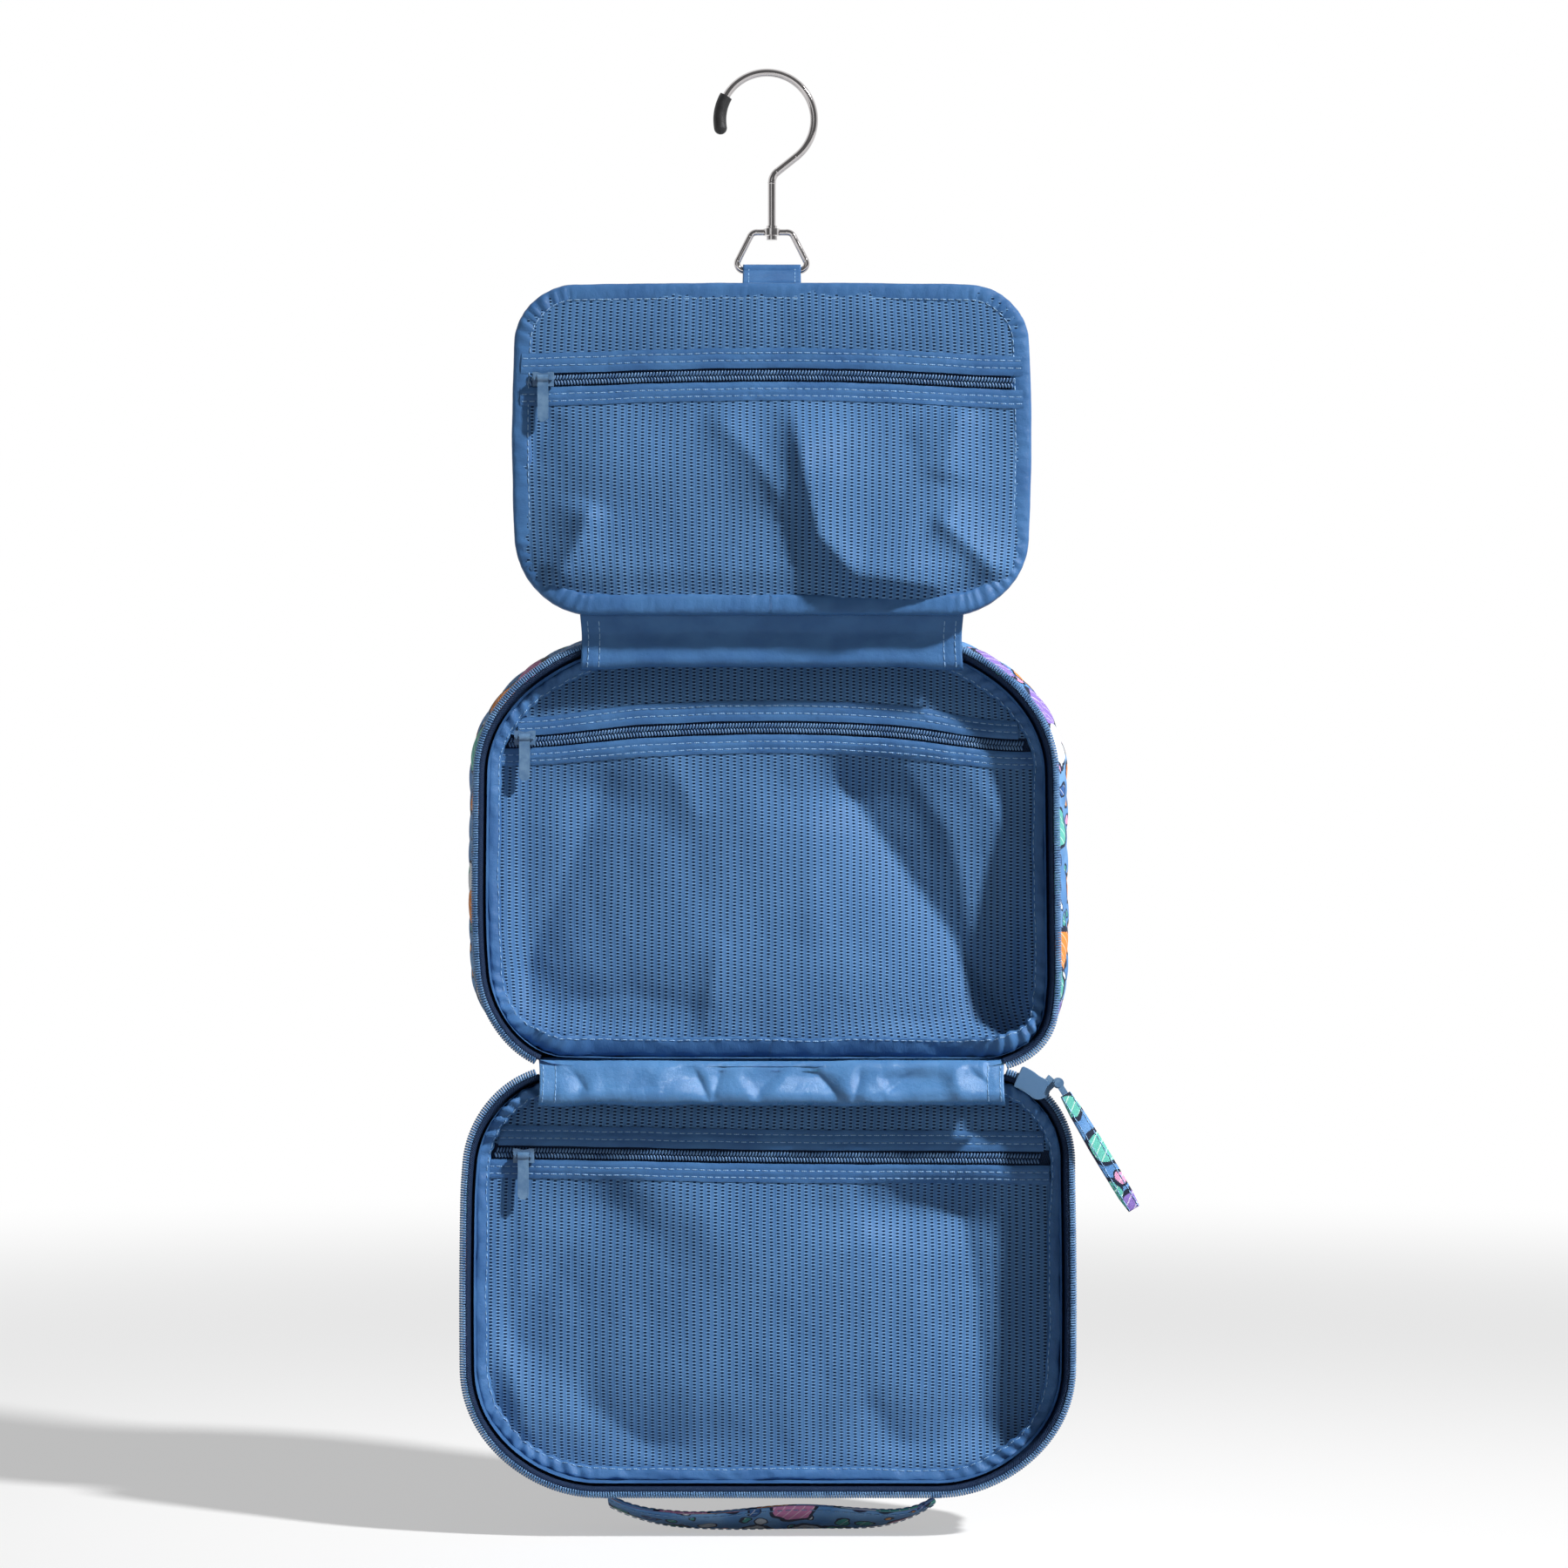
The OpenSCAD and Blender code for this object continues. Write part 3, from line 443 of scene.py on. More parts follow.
def piece(name, points, faces, look, body, uv, also=()):
    """A smooth shaded mesh that rides on a body, or is left unattached when the body is None.

    It stands for the CAD node of its name, if there is one, and for any others given.
    """
    stands_for = also
    if name in frame["nodes"]:
        name, stands_for = f"{name}_soft", (name, *also)
    mesh = bpy.data.meshes.new(name)
    mesh.from_pydata(place(points).tolist(), [], faces)
    layer = mesh.uv_layers.new(name="UVMap")
    corner = np.empty(len(mesh.loops), int)
    mesh.loops.foreach_get("vertex_index", corner)
    layer.data.foreach_set("uv", np.asarray(uv, float).reshape(-1, 2)[corner].ravel())
    work = bmesh.new()
    work.from_mesh(mesh)
    bmesh.ops.recalc_face_normals(work, faces=work.faces)
    work.to_mesh(mesh)
    work.free()
    mesh.polygons.foreach_set("use_smooth", [True] * len(mesh.polygons))
    obj = add_object(name, mesh)
    mesh.materials.append(LOOKS[look])
    if body:
        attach(obj, body)
    if stands_for:
        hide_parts(*stands_for)
    return obj


def thicken(obj, thickness):
    cloth = obj.modifiers.new("cloth", "SOLIDIFY")
    cloth.thickness, cloth.offset = thickness, 0


class Path:
    """A closed run of points in the front view with outward normals and length along it."""

    def __init__(self, points):
        self.p = np.vstack([points, points[:1]])
        self.s = run_length(self.p)
        self.length = self.s[-1]
        run = np.gradient(self.p, axis=0)
        run[0] = run[-1] = self.p[1] - self.p[-2]
        run = unit(run)
        self.n = np.stack([run[:, 1], -run[:, 0]], 1)
        if ((self.p - self.p.mean(0)) * self.n).sum() < 0:
            self.n = -self.n

    def at(self, s):
        s = np.mod(s, self.length)
        p, n = (np.stack([np.interp(s, self.s, of[:, k]) for k in (0, 1)], -1) for of in (self.p, self.n))
        return p, unit(n)

    def round(self, count):
        return np.linspace(0, self.length, count, endpoint=False)


def beside(p, n, off, deep):
    """Points at an offset along the normals of a run, at some depth."""
    x, z = (p[..., k] + off * n[..., k] for k in (0, 1))
    return np.stack([x, np.broadcast_to(deep, x.shape), z], -1)


def sweep(name, path, s, rows, profile, look, body, wrap_rows=False):
    """A strip or roll along a path; profile gives its offset outward, depth and place across the cloth."""
    p, n = path.at(s)
    S, R = grid(s, rows)
    X, Z = (grid(p[:, k], rows)[0] for k in (0, 1))
    off, deep, across = profile(S, R, X, Z)
    full = abs(s[-1] - s[0]) > path.length * 0.9
    faces = grid_faces(len(s), len(rows), full, wrap_rows)
    return piece(name, beside(p[:, None], n[:, None], off, deep), faces, look, body, np.stack([S, across], -1))


def rounded(half, lo, hi, r_lo, r_hi):
    """Outline points from the middle of the foot, anticlockwise in the front view."""
    turn = np.linspace(0, math.pi / 2, 40)
    legs = [
        np.linspace((0, lo), (half - r_lo, lo), 60),
        np.stack([half - r_lo + r_lo * np.sin(turn), lo + r_lo - r_lo * np.cos(turn)], 1)[1:],
        np.linspace((half, lo + r_lo), (half, hi - r_hi), 60)[1:],
        np.stack([half - r_hi + r_hi * np.cos(turn), hi - r_hi + r_hi * np.sin(turn)], 1)[1:],
        np.linspace((half - r_hi, hi), (0, hi), 60)[1:],
    ]
    right = np.concatenate(legs)
    return np.concatenate([right, (right * [-1, 1])[-2:0:-1]])


def half_at(z, half, lo, hi, r_lo, r_hi, margin):
    """Half width of the same outline, drawn in by a margin, at each height."""
    low, high = np.clip(lo + r_lo - z, 0, r_lo - margin), np.clip(z - hi + r_hi, 0, r_hi - margin)
    a = half - r_lo + np.sqrt(np.maximum((r_lo - margin) ** 2 - low ** 2, 0))
    b = half - r_hi + np.sqrt(np.maximum((r_hi - margin) ** 2 - high ** 2, 0))
    return np.minimum(a, b)


def inside(x, z, half, lo, hi, start, full):
    """0 within one distance of an outline's sides, 1 from another inward."""
    up = smooth(lo + start, lo + full, z) * smooth(hi - start, hi - full, z)
    return smooth(half - start, half - full, np.abs(x)) * up


def stamp(name, shape, faces, origins, axes, look, body):
    """Copies of one small shape, each set at an origin on its own three axes."""
    pts = origins[:, None]
    for k, axis in enumerate(axes):
        pts = pts + shape[None, :, k:k + 1] * np.broadcast_to(axis, origins.shape)[:, None]
    faces = [[v + k * len(shape) for v in f] for k in range(len(origins)) for f in faces]
    return piece(name, pts, faces, look, body, pts.reshape(-1, 3)[:, [0, 2]])


def capsule(length, wide, tall, sides=6):
    """A rounded stitch or bead along its first axis."""
    rings = [(-0.5, 0.45), (-0.38, 0.86), (0, 1), (0.38, 0.86), (0.5, 0.45)]
    turn = circle(sides)
    pts = [(length * t, wide * w * math.cos(a), tall * w * math.sin(a)) for t, w in rings for a in turn]
    return np.array(pts), tube_faces(len(rings), sides)


def coil_turn(reach, deep, wire, slant, sides=6):
    """One turn of a zip coil: out from the tape, round the head and back behind."""
    t = np.linspace(0, 1, 9)
    knots = [0, 0.3, 0.42, 0.5, 0.58, 0.7, 1]
    out = np.interp(t, knots, [0, 0.82, 0.97, 1, 0.97, 0.82, 0]) * reach
    back = np.interp(t, knots, [0, 0.04, 0.2, 0.5, 0.8, 0.96, 1]) * deep
    fat = np.interp(t, [0, 0.4, 0.5, 0.6, 1], [1, 1.05, 1.3, 1.05, 1])[:, None, None] * wire
    mid = np.stack([(t - 0.5) * slant, out, back], 1)
    run = unit(np.gradient(mid, axis=0))
    side = unit(np.cross(run, [1, 0, 0]))
    other = np.cross(run, side)
    turn = circle(sides)[None, :, None]
    pts = mid[:, None] + fat * (np.cos(turn) * side[:, None] + np.sin(turn) * other[:, None])
    return pts.reshape(-1, 3), tube_faces(len(t), sides)


STITCHES = {}


def stitch(body, p, pitch=3.3, front=(0, -1, 0)):
    """A row of machine stitches along points on a cloth face."""
    s = run_length(p)
    count = max(int(s[-1] / pitch), 1)
    at = (np.arange(count) + 0.5) * s[-1] / count

    def spot(where):
        return np.stack([np.interp(where, s, p[:, k]) for k in range(3)], 1)

    mid, run = spot(at), unit(spot(at + pitch / 3) - spot(at - pitch / 3))
    side = unit(np.cross(run, front))
    STITCHES.setdefault(body, []).append((mid, run, side, np.cross(run, side)))


def sew(name, rows, body):
    """One mesh of all the stitches in some rows."""
    mid, run, side, up = (np.concatenate([r[k] for r in rows]) for k in range(4))
    shape, faces = capsule(2.4, 0.23, 0.2)
    return stamp(name, shape, faces, mid, (run, side, up), "thread", body)


def strap(name, mid, wide, thick, width, depth, look, body, shift=(0, 0), also=(), power=0.45):
    """A padded or doubled strap along a line, with soft edges and closed ends."""
    n, other_side = len(mid), 40
    wide, thick = (np.broadcast_to(axis, mid.shape)[:, None] for axis in (wide, thick))
    width, depth = (np.broadcast_to(size, (n,))[:, None, None] for size in (width, depth))
    turn = circle(28)
    a, b = squarish(np.cos(turn), power) * 0.5, squarish(np.sin(turn), 0.75) * 0.5
    pts = mid[:, None] + a[None, :, None] * wide * width + b[None, :, None] * thick * depth
    s = np.broadcast_to(run_length(mid)[:, None], pts.shape[:2])
    uv = np.stack([s, a[None] * width[:, :, 0] + other_side * (b[None] < 0)], -1) + shift
    return piece(name, pts, tube_faces(n, len(turn)), look, body, uv, also)


def same(x, z):
    return x, z


def bent(warp, x, d, z):
    """Points in the bag's frame from the front view, bent as the panel's outline is."""
    wx, wz = warp(x, z)
    return np.stack([wx, d, wz], -1)


def sheet_of(name, shape, margin, depth, look, body, nx=90, nz=70, warp=same):
    """A panel within an outline, drawn in by a margin."""
    U, Z = grid(np.linspace(-1, 1, nx), np.linspace(shape[1] + margin, shape[2] - margin, nz))
    X = U * half_at(Z, *shape, margin)
    return piece(name, bent(warp, X, depth(X, Z), Z), grid_faces(nx, nz), look, body, np.stack([X, Z], -1))


def quilt(u, v, pitch=22.0, rise=1.5):
    """Sewn diamond channels: puffs that sink to their seams."""
    a, b = np.sin(math.pi * (u + v) / pitch), np.sin(math.pi * (u - v) / pitch)
    return rise * (np.abs(a * b) + 1e-6) ** 0.42


SEAM_ROWS = (0.36, 0.72)
FACING_ROWS = 17
POCKET_TAPE = 13.0
TOOTH_PITCH = 1.32


def pocket(tag, body, shape, margin, front, zip_line, warp):
    """A zipped mesh pocket front: two mesh panels, two stitched facings, the tape and the coil.

    Returns the lower mesh.
    """
    z_lo, z_hi = shape[1] + margin, shape[2] - margin

    def x_half(z):
        return half_at(z, *shape, margin)

    def cloth(part, pts, X, Z, look):
        return piece(f"{tag}_{part}", pts, grid_faces(*X.shape), look, body, np.stack([X, Z], -1))

    for part, gap in (("upper", 3.6), ("lower", -3.4)):
        U, V = grid(np.linspace(-1, 1, 131), np.linspace(0, 1, 54))
        X = U * x_half(np.full_like(V, z_hi if part == "upper" else z_lo))
        for _ in range(3):
            edge = zip_line(X) + gap
            Z = edge + (z_hi - edge) * V if part == "upper" else z_lo + (edge - z_lo) * V
            X = U * x_half(Z)
        mesh = cloth(f"mesh_{part}", bent(warp, X, front(X, Z), Z), X, Z, "pinhole_mesh")

    for part, near, far in (("upper", 3.0, 11.6), ("lower", -2.9, -10.9)):
        U, V = grid(np.linspace(-1, 1, 190), np.linspace(0, 1, FACING_ROWS))
        X = U * (x_half(zip_line(U * 100) + far) - 0.2)
        Z = zip_line(X) + near + (far - near) * V + 0.25 * rough(X / 16, V * 0 + near)
        lift = 0.75 * np.sin(math.pi * np.clip(V, 0.02, 0.98)) ** 0.35
        for row in SEAM_ROWS:
            lift -= 0.32 * bell(V, row, 0.06) * (0.75 + 0.25 * np.cos(X * TURN / 3.3))
        lift += 0.16 * rough(X / 4.5, V * 3, near)
        pts = bent(warp, X, front(X, Z) - 0.12 - lift, Z)
        facing = cloth(f"facing_{part}", pts, X, Z, "satin_lining")
        for row in SEAM_ROWS:
            stitch(body, pts[:, int(round(row * (FACING_ROWS - 1)))] + [0, -0.1, 0])

    U, R = grid(np.linspace(-1, 1, 120), np.linspace(-POCKET_TAPE / 2, POCKET_TAPE / 2, 9))
    X = U * (x_half(zip_line(U * 100)) - 0.2)
    Z = zip_line(X) + R
    D = front(X, zip_line(X)) + 0.9 + 0.1 * rough(X / 12, R / 4)
    tape = cloth("pocket_tape", bent(warp, X, D, Z), X, Z, "zip_tape")

    end = float(x_half(np.array(zip_line(np.array(110.0))))) - 3.5
    bead, faces = capsule(2.15, 0.5, 0.62)
    spots, runs = [], []
    for side in (1, -1):
        x = np.arange(-end, end, TOOTH_PITCH) + side * TOOTH_PITCH / 4
        spots.append(bent(warp, x, front(x, zip_line(x)) - 0.05, zip_line(x) + side * 1.12))
        runs.append(np.tile([0.34 * side, 0, 0.94], (len(x), 1)))
    runs = np.concatenate(runs)
    axes = runs, np.cross(runs, [0, -1, 0]), (0, -1, 0)
    stamp(f"{tag}_pocket_coil", bead, faces, np.concatenate(spots), axes, "zip_coil", body)
    return mesh


# The top flap

flap_lo, flap_hi = bag("flap_binding")
F_HALF, F_LO, F_HI = flap_hi[0], flap_lo[2], flap_hi[2]
F_TOP_R, F_FOOT_R = 24.0, 32.0
FLAP = (F_HALF, F_LO, F_HI, F_FOOT_R, F_TOP_R)
F_MARGIN = 3.0
F_FACE = bag("flap_mesh_upper")[0][1]
F_ZIP = zip_height("flap")
F_FRONT, F_BACK = flap_lo[1] - 0.3, flap_hi[1]
F_MID = (F_FRONT + F_BACK) / 2
FLAP_FOLDS = (
    ([(84, -223), (36, -217), (20, -200), (15, -178), (10, -150), (8, -136)], 10.5, 6, 30),
    ([(102, -219), (93, -211), (68, -190)], 6.0, 5, 9), ([(104, -218), (72, -226)], -2.2, 5, 5),
    ([(-96, -222), (-82, -202), (-76, -184)], 6.0, 8, 5), ([(-98, -220), (-70, -226)], -2.0, 4, 5),
    ([(8, -190), (-8, -165), (-28, -145)], 4.2, 7, 14), ([(24, -174), (64, -156)], -1.2, 5, 5),
    ([(80, -143), (73, -178)], 3.0, 8, 8), ([(-104, -170), (-90, -146)], -1.4, 6, 6),
)


def flap_warp(x, z):
    """The flap is a little narrower at its head and foot, and its head is crowned."""
    v = (z - F_LO) / (F_HI - F_LO)
    crown = 1.2 * smooth(0.8, 1.0, v) * (0.4 - (x / F_HALF) ** 2)
    return x * (1 - 0.028 * (2 * v - 1.1) ** 2), z + crown


def flap_lean(z):
    """How far the foot of the flap stands forward."""
    start = F_HI - 60
    return 5.0 * np.clip((start - z) / (start - F_LO), 0, 1) ** 5


def flap_zip(x):
    return F_ZIP + 2.4 * arch(x, 104) - 0.4 - 1.0 * smooth(30, 105, x)


def flap_front(x, z):
    """Front of the flap's mesh: soft swell, with folds drawn to the seams and the zip."""
    in_x = smooth(F_HALF - 3, F_HALF - 40, np.abs(x))
    in_z = smooth(F_LO + 3, F_LO + 20, z) * smooth(F_ZIP - 8, F_ZIP - 44, z)
    up = smooth(F_HI - 4, F_HI - 16, z) * smooth(F_ZIP + 9, F_ZIP + 20, z)
    swell = 6.0 * in_x * in_z + 0.9 * in_x * up
    folds = folded(x, z, FLAP_FOLDS)
    folds += 1.1 * rough(x / 34, z / 60, 3.1) * in_x + 0.5 * rough(x / 11, z / 30, 7.7) * in_x
    edge = smooth(F_LO + 3, F_LO + 12, z) * smooth(F_HALF - 2, F_HALF - 10, np.abs(x))
    calm = 1 - 0.95 * bell(z, F_ZIP, 11.5)
    return F_FACE - flap_lean(z) - swell - folds * edge * calm * smooth(F_HI, F_HI - 12, z)


flap_pocket = pocket("flap", "top_flap", FLAP, F_MARGIN, flap_front, flap_zip, flap_warp)

# The flap pocket's lower mesh gets mesh data of its own
still, ahead, seat = place([(0, 0, 0), (0, 1, 0), (0, F_FACE - 1.5, F_ZIP)])
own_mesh(flap_pocket)

BINDING_HALF, BINDING_INSET, BINDING_SEAM = 4.5, 4.1, 6.6


def binding_profile(S, R, X, Z):
    """A flat doubled tape round the flap's edge, puckered where it turns the corners."""
    x, c, s = np.abs(X), np.cos(R), np.sin(R)
    foot = smooth(F_LO + F_FOOT_R + 6, F_LO + F_FOOT_R - 10, Z) * smooth(F_HALF - F_FOOT_R - 8, F_HALF - 16, x)
    head = smooth(F_HI - F_TOP_R - 6, F_HI - 14, Z) * smooth(F_HALF - F_TOP_R - 8, F_HALF - 12, x)
    tuck = np.sin(S * TURN / 5.2 + 3.0 * rough(S / 8, 0.3) + 1.2 * c)
    pucker = (0.1 + 0.42 * np.maximum(foot, head)) * tuck + 0.34 * rough(S / 8 + c, c * 0.9, s * 0.9)
    off = squarish(c, 0.8) * (BINDING_HALF + 0.25 * rough(S / 14, 4.2)) - BINDING_INSET
    deep = F_MID + squarish(s, 0.34) * (F_BACK - F_FRONT) / 2 - np.where(s < 0, pucker * np.abs(s), 0)
    return off + np.where(c > 0, 0.1 * pucker, 0), deep - flap_lean(Z), R * 3.5


flap_edge = Path(np.stack(flap_warp(*rounded(*FLAP).T), 1))
flap_binding = sweep(
    "flap_binding", flap_edge, flap_edge.round(560), circle(26), binding_profile, "satin_lining", "top_flap", True
)
p, n = flap_edge.at(np.linspace(0, flap_edge.length, 800))
seam = beside(p, n, -BINDING_SEAM, F_FRONT - 0.05)
seam[:, 1] -= flap_lean(seam[:, 2])
stitch("top_flap", seam)


def flap_back(x, z):
    return F_BACK - 0.9 + quilt(x, z, 26, 1.7) * inside(x, z, F_HALF, F_LO, F_HI, 3, 10) - flap_lean(z)


def flap_inner(x, z):
    return -0.8 + 0.3 * rough(x / 20, z / 20) - flap_lean(z)


flap_back_panel = sheet_of(
    "flap_outer_panel", FLAP, F_MARGIN, flap_back, "printed_quilt", "top_flap", 150, 110, flap_warp
)
flap_lining = sheet_of("flap_lining", FLAP, F_MARGIN, flap_inner, "satin_lining", "top_flap", warp=flap_warp)

# The hanger tab, a doubled tape round the ring's lower bar
TAB_WIDE, LOOP_R, TAB_ROOT = 25, 2.25, F_HI - 4
tab_lo, tab_hi = bag("hanger_tab")
angle = np.linspace(-0.12, math.pi + 0.12, 22)
loop = np.stack([RING.y / MM - RIM - LOOP_R * np.cos(angle), RING.z / MM + LOOP_R * np.sin(angle)], 1)


def tab_leg(shares, depths, start, end):
    return np.stack([np.interp(np.linspace(0, 1, 16), shares, depths), np.linspace(start, end, 16)], 1)


front_leg = tab_leg([0, 0.45, 1], [F_MID - 0.6, F_MID - 0.6, loop[0, 0]], TAB_ROOT, loop[0, 1])[:-1]
back_leg = tab_leg([0, 0.55, 1], [loop[-1, 0], F_MID + 0.6, F_MID + 0.6], loop[-1, 1], TAB_ROOT)[1:]
run = np.concatenate([front_leg, loop, back_leg])
tab_s, tab_x = run_length(run), np.linspace(tab_lo[0], tab_hi[0], 30)
waist = 1 - 0.012 * np.sin(3.1 * np.arange(len(run)) / len(run))
pts = np.stack([waist[:, None] * tab_x, *(grid(run[:, k], tab_x)[0] for k in (0, 1))], -1)
pts[..., 1] += 0.16 * rough(pts[..., 0] / 5, pts[..., 2] / 6, 1.0)
tab_uv = np.stack(grid(tab_s, tab_x), -1)
hanger_tab = piece("hanger_tab", pts, grid_faces(*pts.shape[:2]), "satin_lining", "top_flap", tab_uv)
thicken(hanger_tab, 0.0008)
for k in (3, 26):
    stitch("top_flap", pts[6:20, k] + [0, -0.5, 0], 2.6)


# The two cases

CORNER_BY_HINGE, CORNER_AWAY = 38.0, 55.0
BACK_MARGIN, MESH_MARGIN, FLOOR_MARGIN = 6.0, 7.0, 9.0
RIM_STOP, RIM_PITCH, RIM_TAPE = 98.5, 1.06, 11.5


def middle_warp(x, z):
    """The middle case draws in at its sides, more so at its right and at its lower left corner."""
    v = smooth(M["lo"], M["hi"], z)
    draw = (0.008 + 0.008 * v + 0.038 * smooth(-60, 60, x)) * smooth(M["lo"] + 2, M["lo"] + 34, z)
    pull = bell(x, -120, 34) * bell(z, M["lo"] + 14, 30)
    top = smooth(M["hi"] - 64, M["hi"] - 6, z) * smooth(58, 104, np.abs(x))
    return x * (1 - draw) + 3.5 * pull - 1.0 * top * np.sign(x), z + 1.5 * pull - 3.6 * top


def lower_warp(x, z):
    """The lower case barrels at its sides, sits a touch to the left and lifts at its foot."""
    v = (z - L["lo"]) / (L["hi"] - L["lo"])
    free = smooth(0.97, 0.7, v)
    wx = x * (1 + 0.012 * np.sin(math.pi * np.clip(v, 0, 1)) * free) - 1.6 * free
    return wx, z + 3.4 * smooth(0.3, 0.0, v)


def middle_bow(x):
    return 5.0 * arch(x, 114) - 0.6 - 1.6 * smooth(40, 112, x)


def lower_bow(x):
    return -1.2 * np.asarray(x, float) / 100 - 0.6 * bell(x, 0, 60)


def case_of(tag, hinge, warp, bow):
    """Sizes of a case from its CAD nodes; hinge is -1 where the hinge is at its foot and 1 at its head."""
    lo, hi = bag(f"{tag}_back_panel")
    near, far = CORNER_BY_HINGE, CORNER_AWAY
    return {
        "tag": tag, "hinge": hinge, "warp": warp, "bow": bow, "zip": zip_height(tag),
        "half": hi[0], "lo": lo[2], "hi": hi[2], "back": hi[1], "mesh": bag(f"{tag}_mesh_lower")[0][1],
        "r_lo": near if hinge < 0 else far, "r_hi": far if hinge < 0 else near,
        # Each case has its own stretch of the print, so that the shut bag's sides don't mirror each other
        "print_from": [0, 0] if hinge < 0 else [151, 83],
    }


M = case_of("middle", -1, middle_warp, middle_bow)
L = case_of("lower", 1, lower_warp, lower_bow)
MIDDLE_FOLDS = (
    ([(16, -280), (58, -336), (116, -414)], -18.0, -46, 30, 0.7),
    ([(-64, -284), (-90, -344), (-118, -404)], -9.5, 34, 22),
    ([(54, -286), (80, -322), (96, -384)], 2.6, 10, 8), ([(-116, -400), (-62, -393), (-20, -402)], -2.6, 8, 10),
    ([(-22, -366), (-30, -416)], 1.8, 6, 5), ([(-48, -286), (-30, -322)], 1.8, 7, 7),
    ([(12, -284), (20, -330), (14, -372)], 1.6, 14, 10),
)
LOWER_FOLDS = (
    ([(78, -458), (88, -520), (92, -600)], -12.0, -34, 34, 0.7),
    ([(-56, -464), (-90, -508), (-122, -552)], -9.5, 36, 20),
    ([(-102, -500), (-110, -545), (-98, -590)], 2.8, 8, 10), ([(-36, -598), (-86, -560)], -2.2, 8, 10),
    ([(26, -464), (46, -504)], 2.0, 8, 10), ([(66, -598), (38, -562)], -2.0, 10, 9),
    ([(-30, -466), (-20, -520), (-36, -580)], 1.4, 20, 14),
)


def middle_folds(x, z):
    f = folded(x, z, MIDDLE_FOLDS) - 3.0 * bell(x, 104, 20) * bell(z, -340, 50)
    return f + 1.4 * rough(x / 40, z / 50, 11.3) + 0.6 * rough(x / 14, z / 24, 2.9)


def lower_folds(x, z):
    f = folded(x, z, LOWER_FOLDS) - 7.0 * bell(x, 58, 30) * bell(z, -482, 16)
    return f + 1.6 * rough(x / 40, z / 50, 5.3) + 0.7 * rough(x / 14, z / 24, 8.9)


